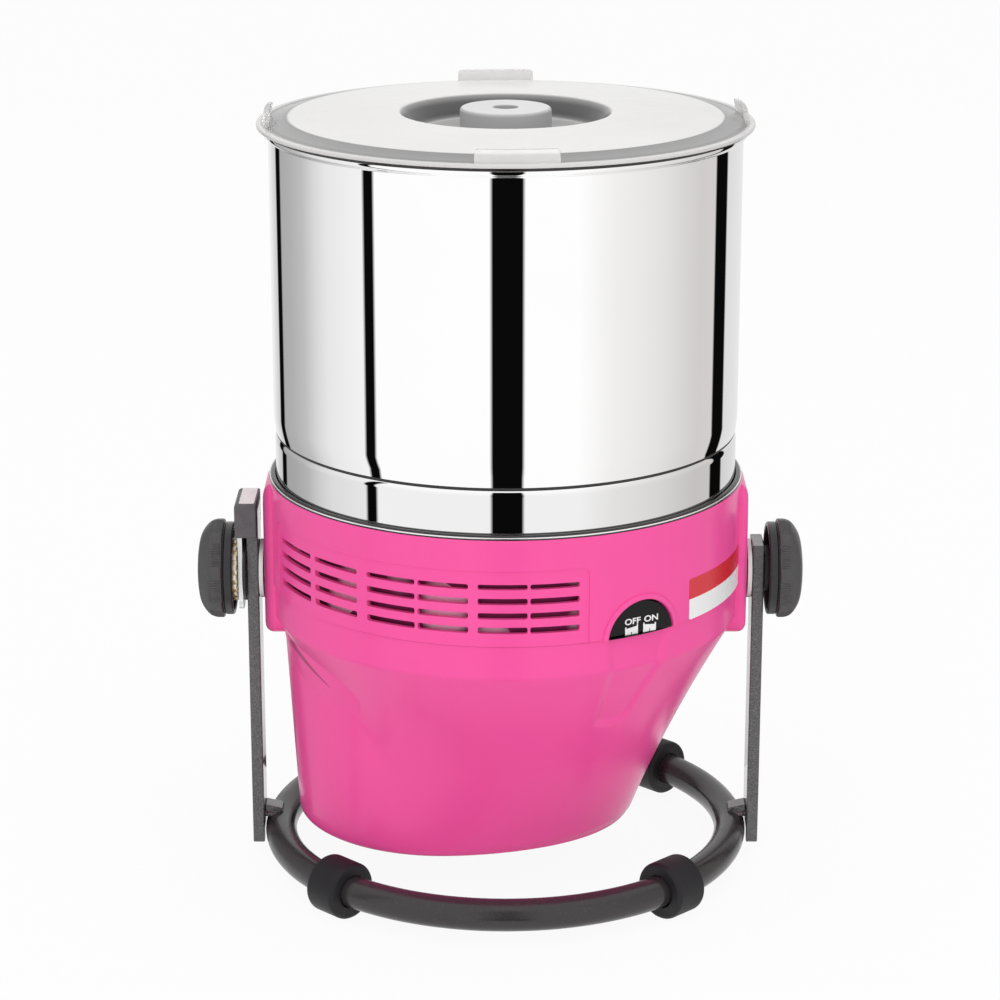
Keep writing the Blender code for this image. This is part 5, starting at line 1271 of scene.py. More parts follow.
@dataclass
class Collar:
    """The upper housing: collar, ears, vents, the bezel around the switch and the sticker."""

    radius: float = COLLAR_RADIUS
    bottom: float = 152.8
    shoulder: float = 190.8
    top: float = 206.1
    wall: float = 3.0
    lip: float = 0.5
    vent_rows: tuple[float, ...] = (182.6, 175.4, 168.2, 161.0)
    vent_heights: tuple[float, ...] = (2.6, 3.1, 3.1, 3.2)
    vent_columns: tuple[Span, ...] = (
        (-69.3, -53.5), (-51.3, -37.3), (-34.0, -21.7), (-20.6, -8.9), (-6.3, 4.8), (5.8, 17.0))
    vent_round: float = 0.95
    panel: Span = (-72.0, 19.5)
    panel_top: float = 190.6
    panel_depth: float = 0.45
    liner: Span = (153.6, 184.6)
    liner_gap: float = 3.6
    liner_sheet: float = 2.0
    window_radius: float = 19.2
    bezel_width: float = 3.0
    ear_face: float = 121.9
    ear_back: float = 116.2
    ear_root: float = 104.0
    ear_half: float = 21.3
    ear_low: float = 124.6
    ear_high: float = 203.6
    ear_edge: float = 4.2
    label_across: Span = (48.5, 79.4)
    label_up: Span = (152.9, 173.6)
    seal: Span = (116.1, 118.5)
    seal_foot: float = 202.6
    seal_shade_flange: float = 0.8
    bead: float = 0.42

    def along(self, azimuth: float) -> float:
        """Return the place along the flat pattern of an azimuth."""
        return math.radians(azimuth) * self.radius

    def build(self) -> None:
        """Make the collar and what is moulded to it or stuck on it."""
        self.make_wall()
        for side in Side:
            self.make_ear(side)
        self.make_bezel()
        # A black seal ring between drum and collar; its flange is a black line of painted shade at the rim's
        # inner edge.
        (inner, outer), rim = self.seal, self.top + 0.3
        flange = outer + self.seal_shade_flange
        corners = [(inner, self.seal_foot), (outer, self.seal_foot), (outer, self.top - 0.1),
                   (flange, self.top - 0.1), (flange, rim), (outer, rim), (outer, self.top + 1.9, 1.0),
                   (inner, self.top + 1.9, 0.7)]
        Workpiece.lathe(corners, 160).finish("rim_seal_and_shade_ring", SEAL_AND_SHADE_BLACK, "housing")
        bead = Workpiece.hoop(outer + 0.3, rim + self.bead, self.bead, 16)
        bead.finish("rim_bead", BEAD_STEEL, "housing")
        # A sheet behind the vents that shows dark with painted shade and pale painted reflections.
        face = -self.wall - self.liner_gap
        liner = Workpiece.oblong((face - self.liner_sheet, face), self.liner,
                                 (self.along(self.panel[0]), self.along(self.panel[1])))
        liner.moved(FLIP_TO_PATTERN).wrapped(self.radius).finish("vent_shade_liner", LINER_PAINTED_SHADE_AND_GLINTS, "housing")
        left, right = self.label_across
        half = self.along((right - left) / 2)
        sticker = Workpiece.oblong((-half, half), self.label_up, (0.02, 0.16), (1.2, 1.2))
        sticker.wrapped(self.radius, (left + right) / 2).finish("side_sticker", STICKER, "housing")

    def make_wall(self) -> None:
        """Cut the vents and the window in a flat strip, and bend it into the collar."""
        section = [(-self.wall, self.bottom), (0, self.bottom, 0.4), (0, self.shoulder, 3.0),
                   (self.lip, 203.4, 1.0), (self.lip, self.top, 0.9), (-0.8, self.top, 0.7),
                   (-self.wall, 200.0)]
        half, through = math.pi * self.radius, (-self.wall - 2, 3.0)
        strip = Workpiece.slab(section, -half, half, 3).moved(FLIP_TO_PATTERN)
        cutters = Workpiece()
        for height, size in zip(self.vent_rows, self.vent_heights):
            for start, end in self.vent_columns:
                cutters.joined(Workpiece.oblong((self.along(start - 0.2), self.along(end + 0.2)),
                                                (height - size / 2, height + size / 2), through,
                                                (self.vent_round, self.vent_round), 3))
        panel = Workpiece.oblong((self.along(self.panel[0]), self.along(self.panel[1])),
                                 (self.bottom - 4, self.panel_top), (-self.panel_depth, 4.0), (0.0, 3.0))
        window = Workpiece.disc(self.window_radius, through, 64,
                                (self.along(SWITCH_AZIMUTH), SWITCH_CENTRE))
        strip.combined(cutters).combined(panel).combined(window)
        caps = [face for face in strip.bm.faces if abs(face.calc_center_median().x) > half - 1e-3]
        bmesh.ops.delete(strip.bm, geom=caps, context="FACES_ONLY")
        collar = strip.wrapped(self.radius, step=3.0)
        collar.finish("vented_collar", PINK, "housing", ["upper_housing"], Slot.HOUSING, 30.0)

    def make_bezel(self) -> None:
        """Make the raised half ring around the switch."""
        outer, inner = self.window_radius + self.bezel_width, self.window_radius + 0.1
        ring = Workpiece.lathe([(inner, -2.0), (outer, -2.0), (outer, 1.2, 1.1), (inner, 1.2, 0.8)], 96)
        ring.moved(Matrix.Translation((0, SWITCH_CENTRE, 0)))
        bmesh.ops.holes_fill(ring.bm, edges=ring.trimmed((0, self.bottom + 0.05, 0), (0, -1, 0)))
        ring.wrapped(self.radius, SWITCH_AZIMUTH, 2.0)
        ring.finish("switch_bezel", PINK, "housing", slot=Slot.HOUSING)

    def make_ear(self, side: Side) -> None:
        """Make the flat-faced pod around one pivot, leaning back at its top and rooted in the collar.

        Args:
            side: Its side.
        """
        half, low, high = self.ear_half, self.ear_low - PIVOT, self.ear_high - PIVOT
        depth, lean_height, lean = self.ear_face - self.ear_back, 9.0, 1.4
        ear = Workpiece.oblong((-half, half), (low, high), (self.ear_back, self.ear_face), (8.0, 6.0), 10)
        ear.soften(self.ear_edge, 6, 60.0,
                   lambda edge: all(vert.co.z > self.ear_face - 0.1 for vert in edge.verts))
        ear.sliced(3.5, low, high, axis=1)
        for vert in ear.bm.verts:
            rise = max(vert.co.y - (high - lean_height), 0.0) / lean_height
            vert.co.z -= lean * rise * rise * (vert.co.z - self.ear_back) / depth
            if vert.co.z < self.ear_back + 0.1 and vert.co.y < -4.0:
                vert.co.z = self.ear_root
        ear.combined(Workpiece.bore(110.0, 124.0)).moved(across(side))
        # Only the left ear takes the pink with painted shade towards its outer face.
        look = EAR_PINK_PAINTED_SHADE if side is Side.LEFT else PINK
        ear.finish("ear_" + side.name.lower(), look, "housing", slot=Slot.HOUSING)


@dataclass
class LowerShell:
    """The skirt under the drum joined to the motor tub, with the flute below the switch, and the gland."""

    bottom: float = 26.0
    knee: float = 136.0
    seam: float = 152.5
    radius: float = 118.0
    foot_radius: float = 65.0
    flare: float = 0.22
    tub_offset: float = 32.0
    tub_foot: float = 75.0
    tub_draft: float = 7.6
    bottom_round: float = 2.5
    wall: float = 2.6
    segments: int = 480
    ring_step: float = 1.5
    flute_depth: float = 1.5
    fold: float = 3.0
    gland_height: float = 60.0
    screws: tuple[Span, ...] = ((-61.22, -62.73), (-61.22, 62.73), (48.49, -33.96), (48.49, 33.96))

    def skirt(self, height: float) -> float:
        """Find how wide the skirt is.

        Args:
            height: Height above the floor.

        Returns:
            The skirt's radius.
        """
        rise = unit((height - self.bottom) / (self.knee - self.bottom))
        bent = rise * (1 - self.flare) + self.flare * rise ** 2
        return self.foot_radius + (self.radius - self.foot_radius) * bent

    def blend(self, azimuth: float) -> float:
        """Return how softly the skirt meets the tub in one direction."""
        share = unit((azimuth + 53.0) / 22.0 if azimuth < 0 else (150.0 - azimuth) / 60.0)
        return 0.5 + 16.0 * eased(share)

    def flute(self, azimuth: float, height: float) -> float:
        """Find how deep the flute is.

        Args:
            azimuth: Direction in degrees.
            height: Height above the floor.

        Returns:
            The share of its full depth, from 0 to 1.
        """
        fall = unit((150.0 - height) / 50.0)
        left, right = 24.4 + 1.5 * fall, 42.0 - 6.0 * fall
        floor = 100.0 + 6.0 * ((azimuth - (left + right) / 2) / 8.0) ** 2
        inside = min((azimuth - left) * 2.0, (right - azimuth) * 2.0, height - floor)
        return eased(unit(inside / 3.2))

    def reach(self, azimuth: float, height: float, inset: float = 0.0) -> float:
        """Find how far the shell reaches from the drum's axis.

        Args:
            azimuth: Direction in degrees, from -180 to 180.
            height: Height above the floor.
            inset: How far inside the outer face.

        Returns:
            The distance from the drum's axis.
        """
        turn = math.radians(azimuth)
        rise = (height - self.bottom) / (self.seam - self.bottom)
        tub = self.tub_foot + self.tub_draft * rise - inset
        aside = self.tub_offset * math.cos(turn)
        far = math.sqrt(max(tub ** 2 - aside ** 2, 0.0)) - self.tub_offset * math.sin(turn)
        near = self.skirt(height) - inset
        folded = unit(min((-51.0 - azimuth) / 34.0, (azimuth + 120.0) / 20.0))
        if far < near < far + self.fold * folded:
            near = far
        width = self.blend(azimuth)
        overlap = max(width - abs(far - near), 0.0) / width
        reach = max(far, near) + overlap * overlap * width * 0.25 * unit((self.seam - height) / 12.0)
        if inset == 0.0:
            reach -= self.flute_depth * self.flute(azimuth, height)
        return min(reach, self.radius - inset)

    def rings(self) -> list[Corner]:
        """List the shell's rings, from the foot up its outside and down its inside.

        Returns:
            The height that gives each ring its form, its own height and its inset.
        """
        rings: list[Corner] = []
        start = self.bottom + self.bottom_round
        for index in range(5):
            turn = QUARTER * index / 4
            rings.append((self.bottom, start - self.bottom_round * math.cos(turn),
                          self.bottom_round * (1 - math.sin(turn))))
        count = round((self.seam - start) / self.ring_step)
        for index in range(1, count + 1):
            height = start + (self.seam - start) * index / count
            rings.append((height, height, 0.0))
        lip = 9.0
        return rings + [(self.seam, self.seam, self.wall), (138.0, 138.0, self.wall),
                        (90.0, 90.0, self.wall + 0.4), (self.bottom, 33.0, self.wall),
                        (self.bottom, 33.0, lip), (self.bottom, 29.8, lip),
                        (self.bottom, 29.8, self.wall), (self.bottom, self.bottom, self.wall)]

    def build(self) -> None:
        """Make the shell, the cord's gland and the bottom cover's screws."""
        shell = Workpiece()
        bm = shell.bm
        bmesh.ops.create_circle(bm, segments=self.segments, radius=1.0)
        first = loop = bm.edges[:]
        verts = bm.verts[:]
        for number, (form, level, inset) in enumerate(self.rings()):
            if number:
                grown = bmesh.ops.extrude_edge_only(bm, edges=loop)["geom"]
                verts = [item for item in grown if isinstance(item, bmesh.types.BMVert)]
                fresh = set(verts)
                loop = [item for item in grown if isinstance(item, bmesh.types.BMEdge)
                        and all(vert in fresh for vert in item.verts)]
            for vert in verts:
                azimuth = math.degrees(math.atan2(vert.co.x, -vert.co.y))
                flat = Vector((vert.co.x, vert.co.y, 0)).normalized() * self.reach(azimuth, form, inset)
                vert.co = (flat.x, flat.y, level)
        bmesh.ops.bridge_loops(bm, edges=loop + first)
        shell.closed()
        # The shell's finish paints shade along the crease at the tub's left.
        shell.finish("lower_shell", SHELL_PINK_PAINTED_SHADE, "housing", ["lower_housing"], Slot.HOUSING, 50.0)
        self.make_gland()
        for number, place in enumerate(self.screws, start=1):
            self.make_screw(number, place)

    def make_screw(self, number: int, place: Span) -> None:
        """Sink one cross-head screw of the bottom cover.

        Args:
            number: Its number.
            place: Its x and y.
        """
        low = self.bottom + 0.05
        corners = [(0, low), (2.0, low, 0.3), (2.7, low + 0.35), (1.6, low + 0.35), (1.6, low + 6.2),
                   (0, low + 6.2)]
        screw = Workpiece.lathe(corners, 32, 2)
        for x, y in ((1.5, 0.3), (0.3, 1.5)):
            screw.combined(Workpiece.block((-x, -y, low - 1), (x, y, low + 0.25)))
        screw.moved(Matrix.Translation((*place, 0)))
        screw.finish("sunk_screw_%d" % number, ZINC, "housing", ["cover_screw_%d" % number], Slot.ZINC)

    def make_gland(self) -> None:
        """Make the cord's gland in the back of the skirt."""
        bore, body, nut = 3.6, 8.0, 11.0
        seat = self.reach(180.0, self.gland_height + nut) + 0.8
        corners = [(bore, seat - 18.0), (body, seat - 18.0), (body, seat), (nut, seat, 0.4),
                   (nut, seat + 2.5, 1.0), (body, seat + 2.5), (7.2, seat + 9.0, 1.4),
                   (bore, seat + 9.0, 0.8)]
        gland = Workpiece.lathe(corners, 64).moved(facing(180.0, 0, self.gland_height))
        gland.finish("cord_bush", BLACK, "housing", ["cord_gland"], Slot.BLACK)


@dataclass
class Switch:
    """The half-moon rocker with its words and signs."""

    tilt: float = 4.0
    radius: float = 18.6
    base: float = 152.95
    back: float = 112.6
    thickness: float = 4.7
    type_size: float = 5.0
    type_depth: float = 0.24
    type_height: float = 8.4
    sill_half: float = 18.9
    sill: Span = (152.54, 152.76)

    def build(self) -> None:
        """Make the rocker, print it and lay the sill under it."""
        place = facing(SWITCH_AZIMUTH - self.tilt, 0, SWITCH_CENTRE)
        place.translation = facing(SWITCH_AZIMUTH, self.back, SWITCH_CENTRE).translation
        moon = Workpiece.disc(self.radius, (0.0, self.thickness), 72)
        cut = moon.trimmed((0, self.base - SWITCH_CENTRE, 0), (0, -1, 0))
        bmesh.ops.contextual_create(moon.bm, geom=cut)
        moon.closed().soften(0.7, 3, 50.0)
        moon.moved(place).finish("rocker", ROCKER_BLACK, "rocker", ["switch_rocker"], Slot.BLACK)
        for text, along in (("OFF", -4.2), ("ON", 6.3)):
            word = lettering(text, self.type_size, self.type_depth)
            word.moved(place @ Matrix.Translation((along, self.type_height, self.thickness))
                       @ Matrix.Diagonal((1.02, 0.84, 1.0, 1.0)))
            word.finish("word_" + text.lower(), PRINT_WHITE, "rocker")
        self.make_sign("sign_off", -4.8, -0.35, place)
        self.make_sign("sign_on", 5.4, 0.35, place)
        low, high = self.sill
        sill = Workpiece.oblong((-self.sill_half, self.sill_half), (0.0, high - low), (-6.5, -0.3))
        sill.moved(Matrix.Translation((0, low, 0))).wrapped(COLLAR_RADIUS, SWITCH_AZIMUTH, 2.0)
        sill.finish("switch_sill", ROCKER_BLACK, "housing")

    def make_sign(self, name: str, along: float, lean: float, place: Matrix) -> None:
        """Print a small outline of a rocker.

        Args:
            name: The piece's name.
            along: Its middle on the rocker's face.
            lean: How far its left side stands up and its right side goes down.
            place: The rocker's place.
        """
        low, high, half, post, slit = 2.0, 5.5, 3.6, 0.7, 0.25
        left, right = high + lean, high - lean
        corners = [(-half, low), (-slit, low), (-slit, low + 1.3), (slit, low + 1.3), (slit, low),
                   (half, low), (half, right + 0.9), (half - post, right + 0.9), (half - post, right),
                   (post - half, left), (post - half, left + 0.9), (-half, left + 0.9)]
        sign = Workpiece.slab([(along + x, y) for x, y in corners], self.thickness - 0.1,
                              self.thickness + 0.12)
        sign.moved(place).finish(name, PRINT_WHITE, "rocker")


@dataclass
class Drum:
    """The polished drum with its stones, rollers and their holder."""

    radius: float = 116.3
    belt: float = 115.8
    band: float = 113.2
    sheet: float = 1.2
    bottom: float = 186.0
    step_low: float = 202.6
    step_high: float = 204.6
    belt_top: float = 227.9
    seam: float = 229.3
    seam_top: float = 230.2
    curl: float = 0.85
    curl_top: float = 241.0
    curl_height: float = 10.4
    top: float = 382.0
    rim: float = 118.6
    hole: float = 14.3
    stone_radius: float = 108.0
    stone_low: float = 187.5
    stone_high: float = 207.7
    apex: float = 208.0
    angle: float = 25.0
    roller: Span = (38.0, 92.0)
    roller_bore: float = 7.3
    holder_bore: float = 8.3
    holder_radius: float = 26.0
    nut_radius: float = 15.0
    nut: Span = (250.0, 265.0)

    def build(self) -> None:
        """Make every piece that shows in or on the drum."""
        self.make_shell()
        corners = [(self.hole, self.stone_low), (self.stone_radius, self.stone_low, 0.6),
                   (self.stone_radius, self.stone_high, 1.5), (self.hole, self.stone_high, 0.5)]
        Workpiece.lathe(corners, 128, 3).finish("bed_stone", GRANITE, "drum", ["base_stone"], Slot.STONE)
        for number in range(1, 4):
            self.make_roller(number)
        self.make_holder()
        self.make_nut()

    def make_shell(self) -> None:
        """Turn the sheet with its band, belt and curled foot, and the black ring of painted shade in its
        crease.
        """
        curl = [(self.radius - self.curl * share ** 2, self.curl_top - self.curl_height * share)
                for share in (1.0, 0.88, 0.76, 0.64, 0.52, 0.4, 0.28, 0.14)]
        belt, inside, core = self.belt, self.radius - self.sheet, self.band - self.sheet
        floor = self.bottom + self.sheet
        corners = [(self.hole, self.bottom), (self.band, self.bottom, 4.0), (self.band, self.step_low, 0.8),
                   (belt, self.step_high, 1.0), (belt, self.belt_top, 1.9), (belt - 1.3, self.seam, 0.5),
                   (belt - 1.3, self.seam_top, 0.3), *curl, (self.radius, self.curl_top),
                   (self.radius, 378.0, 0.4), (self.rim, 379.2, 1.0), (self.rim, 381.8, 1.1),
                   (117.0, self.top, 0.4), (inside, self.top, 0.5), (inside, 232.5, 1.0),
                   (belt - 2.6, 229.0, 0.8), (belt - 2.6, 205.6, 1.0), (core, 203.4, 0.8),
                   (core, floor, 3.0), (self.hole, floor)]
        Workpiece.lathe(corners, 192, 6).finish("polished_drum", MIRROR, "drum", ["drum_shell"], Slot.MIRROR)
        # A black ring in the drum's crease: painted shade that darkens it.
        inner, outer, high = belt - 1.6, belt - 0.55, self.seam_top + 0.3
        corners = [(inner, self.seam), (outer, self.seam, 0.2), (outer, high, 0.2), (inner, high)]
        Workpiece.lathe(corners, 192, 2).finish("drum_crease_shade_ring", SATIN_BLACK, "drum")

    def make_roller(self, number: int) -> None:
        """Make one conical stone around its axle.

        Args:
            number: Its number, from 1 to 3.
        """
        spread, bore, (inner, outer) = math.tan(math.radians(self.angle)), self.roller_bore, self.roller
        corners = [(bore, inner), (inner * spread, inner, 0.8), (outer * spread, outer - 1.5, 2.2),
                   (outer * spread - 1.5, outer, 1.2), (bore, outer, 0.4)]
        turn = Matrix.Rotation(QUARTER + (number - 1) * FULL / 3, 4, "Z") @ Matrix.Rotation(
            QUARTER - math.radians(self.angle), 4, "Y")
        stone = Workpiece.lathe(corners, 96, 3).moved(Matrix.Translation((0, 0, self.apex)) @ turn)
        stone.finish("cone_stone_%d" % number, GRANITE, "roller_%d" % number,
                     ["roller_stone_%d" % number], Slot.STONE)

    def make_holder(self) -> None:
        """Make the bell that holds the axles."""
        bore, radius = self.holder_bore, self.holder_radius
        corners = [(bore, 238.7), (17.0, 238.7), (17.0, 210.2), (radius, 210.2, 0.8),
                   (radius, 249.7, 3.5), (bore, 249.7)]
        Workpiece.lathe(corners, 96, 4).finish("axle_holder", NYLON, "housing", ["stone_holder"], Slot.NYLON)

    def make_nut(self) -> None:
        """Make the grooved nut that keeps the holder on its spindle."""
        radius, (low, high), segments = self.nut_radius, self.nut, 96
        corners = [(0, high - 3.5), (self.holder_bore, high - 3.5), (self.holder_bore, low),
                   (radius, low, 0.6), (radius, high, 2.2), (0, high)]
        nut = Workpiece.lathe(corners, segments, 4).grooved(
            0.7, lambda reach, turn, height: reach > radius - 0.5 and low + 1 < height < high - 1
            and round(turn * segments / FULL) % 4 == 0)
        nut.finish("spindle_nut", BLACK, "housing", ["holder_nut"], Slot.BLACK, 60.0)


@dataclass
class Lid:
    """The milky lid with its bevel, finger well, four clear tabs and grey knob."""

    flange: float = 384.8
    radius: float = 122.0
    skirt_low: float = 383.1
    bevel_foot: float = 116.5
    bevel_top: float = 107.6
    plateau: float = 387.1
    lip: float = 389.4
    screw: float = 2.3
    well_radius: float = 52.0
    well_floor_radius: float = 44.3
    well_floor: float = 378.8
    sheet: float = 1.6
    tab_azimuths: tuple[float, ...] = (2.5, 92.5, 182.5, 272.5)
    tab_middle: float = 118.2
    tab_thickness: float = 2.4
    tab_half: float = 9.6
    tab_lean: float = 1.5
    tab_top: float = 391.2
    knob_radius: float = 22.5
    knob_height: float = 11.9
    knob_eye: float = 6.1

    def build(self) -> None:
        """Make the lid's shell, the black ring of painted shade under its skirt, its tabs and knob."""
        sheet, screw = self.sheet, self.screw
        corners = [(screw, self.well_floor), (self.well_floor_radius, self.well_floor, 1.6),
                   (self.well_radius, self.lip, 1.4), (self.bevel_top, self.plateau, 1.2),
                   (self.bevel_foot, self.flange, 0.9), (self.radius, self.flange, 0.9),
                   (self.radius, self.skirt_low, 0.4), (117.4, self.skirt_low, 0.3),
                   (115.5, self.flange - sheet - 0.2), (self.bevel_top - sheet, self.plateau - sheet, 0.8),
                   (self.well_radius + sheet, self.lip - sheet, 1.0),
                   (self.well_floor_radius + sheet, self.well_floor - sheet, 1.0),
                   (screw, self.well_floor - sheet)]
        Workpiece.lathe(corners, 192, 4).finish("lid_dish", LID_PAINTED_SHADE, "lid", ["lid_shell"], Slot.LID)
        # A black ring under the lid's skirt: painted shade of the gap between lid and drum.
        seat = self.skirt_low - 1.05
        corners = [(117.6, seat), (120.2, seat), (120.6, self.skirt_low), (117.6, self.skirt_low)]
        Workpiece.lathe(corners, 160).finish("lid_gap_shade_ring", SEAL_AND_SHADE_BLACK, "lid")
        for number, azimuth in enumerate(self.tab_azimuths, start=1):
            self.make_tab(number, azimuth)
        low, radius, eye = self.well_floor + 0.3, self.knob_radius, self.knob_eye
        high = low + self.knob_height
        corners = [(0, high - 5.1), (screw, high - 5.1), (screw, low), (radius, low, 0.6),
                   (radius, high, 1.8), (eye, high, 0.6), (eye, high - 4.0, 0.4), (0, high - 4.0)]
        Workpiece.lathe(corners, 128, 4).finish("grey_lid_knob", GREY, "lid", ["lid_knob"], Slot.GREY)

    def make_tab(self, number: int, azimuth: float) -> None:
        """Stand one clear grip tab on the flange, leaning inwards.

        Args:
            number: Its number.
            azimuth: Its place, in degrees.
        """
        half, thick = math.radians(self.tab_half) * self.tab_middle, self.tab_thickness / 2
        low, high = self.flange - 0.3, self.tab_top
        tab = Workpiece.oblong((-half, half), (low, high), (-thick, thick), (0.0, 1.6))
        tab.soften(0.5, 2, 60.0)
        for vert in tab.bm.verts:
            vert.co.z -= self.tab_lean * (vert.co.y - low) / (high - low)
        tab.wrapped(self.tab_middle, azimuth, 3.0)
        tab.finish("lid_tab_%d" % number, TAB_CLEAR, "lid", slot=Slot.LID)


# ---------------------------------------------------------------------------------------------------
# Studio
# ---------------------------------------------------------------------------------------------------

@dataclass
class Studio:
    """Camera, floor, backdrop light and the striped tent that polished metal reflects, in metres."""

    lens: float = 111.54
    sensor: float = 36.0
    camera: Corner = (-0.0007, -1.50597, 0.64363)
    pitch: float = 16.759
    aim: Corner = (0.0, 0.0, 0.2)
    lamps: tuple[tuple[str, Corner, float, float], ...] = (
        ("key", (-1.2, -1.8, 1.7), 1.4, 5.5), ("fill", (1.5, -1.5, 0.9), 1.2, 4.0),
        ("front", (-0.2, -2.0, 0.15), 1.0, 8.0), ("top", (0.0, -0.4, 2.4), 1.6, 8.0))
    room_light: float = 0.78
    floor_size: float = 30.0
    glow: float = 0.93
    apron_radius: float = 0.16
    tent_radius: float = 0.6
    tent_height: float = 0.6
    bar: float = 0.003
    greys: tuple[tuple[float, float], ...] = (
        (-180.0, 0.92), (-152.0, 0.86), (-136.9, 0.60), (-130.1, 0.40), (-117.9, 0.435), (-105.9, 0.515),
        (-96.0, 0.69), (-87.2, 0.81), (-72.2, 0.88), (-66.0, 0.90), (-59.4, 1.0), (-6.4, 1.0), (8.3, 1.0),
        (32.0, 1.0), (124.5, 0.72), (150.0, 0.80), (180.0, 0.92))
    warm_greys: tuple[tuple[float, Colour], ...] = (
        (48.9, (0.88, 0.865, 0.86)), (61.1, (0.83, 0.82, 0.815)), (74.6, (0.775, 0.76, 0.755)),
        (90.2, (0.675, 0.655, 0.65)), (99.3, (0.63, 0.61, 0.605)), (111.8, (0.66, 0.63, 0.62)))
    bars: tuple[Span, ...] = ((-136.6, -130.4), (-65.7, -59.7), (-6.1, 8.0), (112.1, 124.2))

    def build(self) -> None:
        """Set the camera, the light and the surroundings."""
        bpy.context.scene.view_settings.view_transform = "Standard"
        data = bpy.data.cameras.new("camera")
        data.lens, data.sensor_width = self.lens, self.sensor
        camera = bpy.data.objects.new("camera", data)
        camera.location = self.camera
        camera.rotation_euler = (math.radians(90.0 - self.pitch), 0, 0)
        bpy.context.scene.collection.objects.link(camera)
        bpy.context.scene.camera = camera
        self.make_world()
        self.make_floor()
        self.make_tent()
        self.make_apron()
        for lamp in self.lamps:
            self.make_lamp(*lamp)
        log.info("studio: camera, world, floor, tent, apron and %d lamps", len(self.lamps))

    def seen(self, nodes: NodeTree) -> bpy.types.NodeSocket:
        """Tell rays that are looked along from rays that only light.

        Args:
            nodes: The material's tree.

        Returns:
            1 for camera, glossy and transmission rays, 0 for others.
        """
        path = nodes.add("LightPath")
        total = nodes.maths("ADD", path.outputs["Is Camera Ray"], path.outputs["Is Glossy Ray"])
        return nodes.maths("ADD", total, path.outputs["Is Transmission Ray"], clamp=True)

    def make_world(self) -> None:
        """Light the object from all round, on a white ground."""
        world = bpy.data.worlds.new("white_room")
        bpy.context.scene.world = world
        world.use_nodes = True
        nodes = NodeTree(world.node_tree)
        background = world.node_tree.nodes["Background"]
        background.inputs["Color"].default_value = (1, 1, 1, 1)
        strength = nodes.between(self.seen(nodes), 0.0, 1.0, self.room_light, 1.0)
        nodes.feed(background.inputs["Strength"], strength)

    def make_floor(self) -> None:
        """Lay the pale floor, which shows white but keeps the shadow."""
        piece = Workpiece()
        bmesh.ops.create_grid(piece.bm, x_segments=1, y_segments=1, size=self.floor_size)
        floor = piece.released("floor")
        made = bpy.data.materials.new("pale_floor")
        made.use_nodes = True
        nodes = NodeTree(made.node_tree)
        shader = made.node_tree.nodes["Principled BSDF"]
        shader.inputs["Roughness"].default_value = 0.9
        shader.inputs["Specular IOR Level"].default_value = 0.0
        tone = TONE.use(nodes, Colour=(0.86, 0.86, 0.86, 1.0), Scale=3.0, Amount=0.004)
        nodes.feed(shader.inputs["Base Color"], tone)
        glow = nodes.add("Emission", Color=(1, 1, 1, 1), Strength=1.0)
        share = nodes.maths("MULTIPLY", self.seen(nodes), self.glow)
        both = nodes.add("MixShader", _0=share, _1=shader.outputs[0], _2=glow.outputs[0])
        nodes.feed(made.node_tree.nodes["Material Output"].inputs["Surface"], both.outputs[0])
        floor.data.materials.append(made)

    def hang_stripes(self, name: str, piece: Workpiece) -> None:
        """Hang a glowing striped surface that only reflections see.

        Args:
            name: Its name.
            piece: Its mesh, in metres.
        """
        item = piece.released(name)
        made = bpy.data.materials.new(name + "_glow")
        made.use_nodes = True
        nodes = NodeTree(made.node_tree)
        glow = nodes.add("Emission", Color=self.stripes(nodes), Strength=1.0)
        nodes.feed(made.node_tree.nodes["Material Output"].inputs["Surface"], glow.outputs[0])
        item.data.materials.append(made)
        for kind in ("camera", "diffuse", "transmission", "volume_scatter", "shadow"):
            setattr(item, "visible_" + kind, False)

    def make_apron(self) -> None:
        """Lay the tent's stripes on the floor too, where surfaces that lean down mirror them."""
        piece = Workpiece()
        for radius in (self.apron_radius, self.tent_radius):
            bmesh.ops.create_circle(piece.bm, segments=96, radius=radius,
                                    matrix=Matrix.Translation((AXIS_X * MM, 0, 0.002)))
        bmesh.ops.bridge_loops(piece.bm, edges=piece.bm.edges[:])
        self.hang_stripes("apron", piece)

    def make_tent(self) -> None:
        """Stand the striped cylinder around the machine."""
        piece = Workpiece()
        bmesh.ops.create_cone(piece.bm, cap_ends=False, segments=180, radius1=self.tent_radius,
                              radius2=self.tent_radius, depth=self.tent_height,
                              matrix=Matrix.Translation((AXIS_X * MM, 0, self.tent_height / 2 + 0.001)))
        self.hang_stripes("tent", piece)

    def stripes(self, nodes: NodeTree) -> bpy.types.NodeSocket:
        """Run the tent's tones and its dark bars from azimuth to azimuth.

        Args:
            nodes: The material's tree.

        Returns:
            The colour.
        """
        parts = nodes.from_axis()
        aside = nodes.maths("ARCTAN2", parts.outputs[0], nodes.maths("MULTIPLY", parts.outputs[1], -1.0))
        tones = [(azimuth, (tone,) * 3) for azimuth, tone in self.greys] + list(self.warm_greys)
        tones += [(azimuth, (self.bar,) * 3) for span in self.bars for azimuth in span]
        stops = [((azimuth + 180.0) / 360.0, colour) for azimuth, colour in sorted(tones)]
        return nodes.ramp(nodes.maths("MULTIPLY_ADD", aside, 1 / FULL, 0.5), stops)

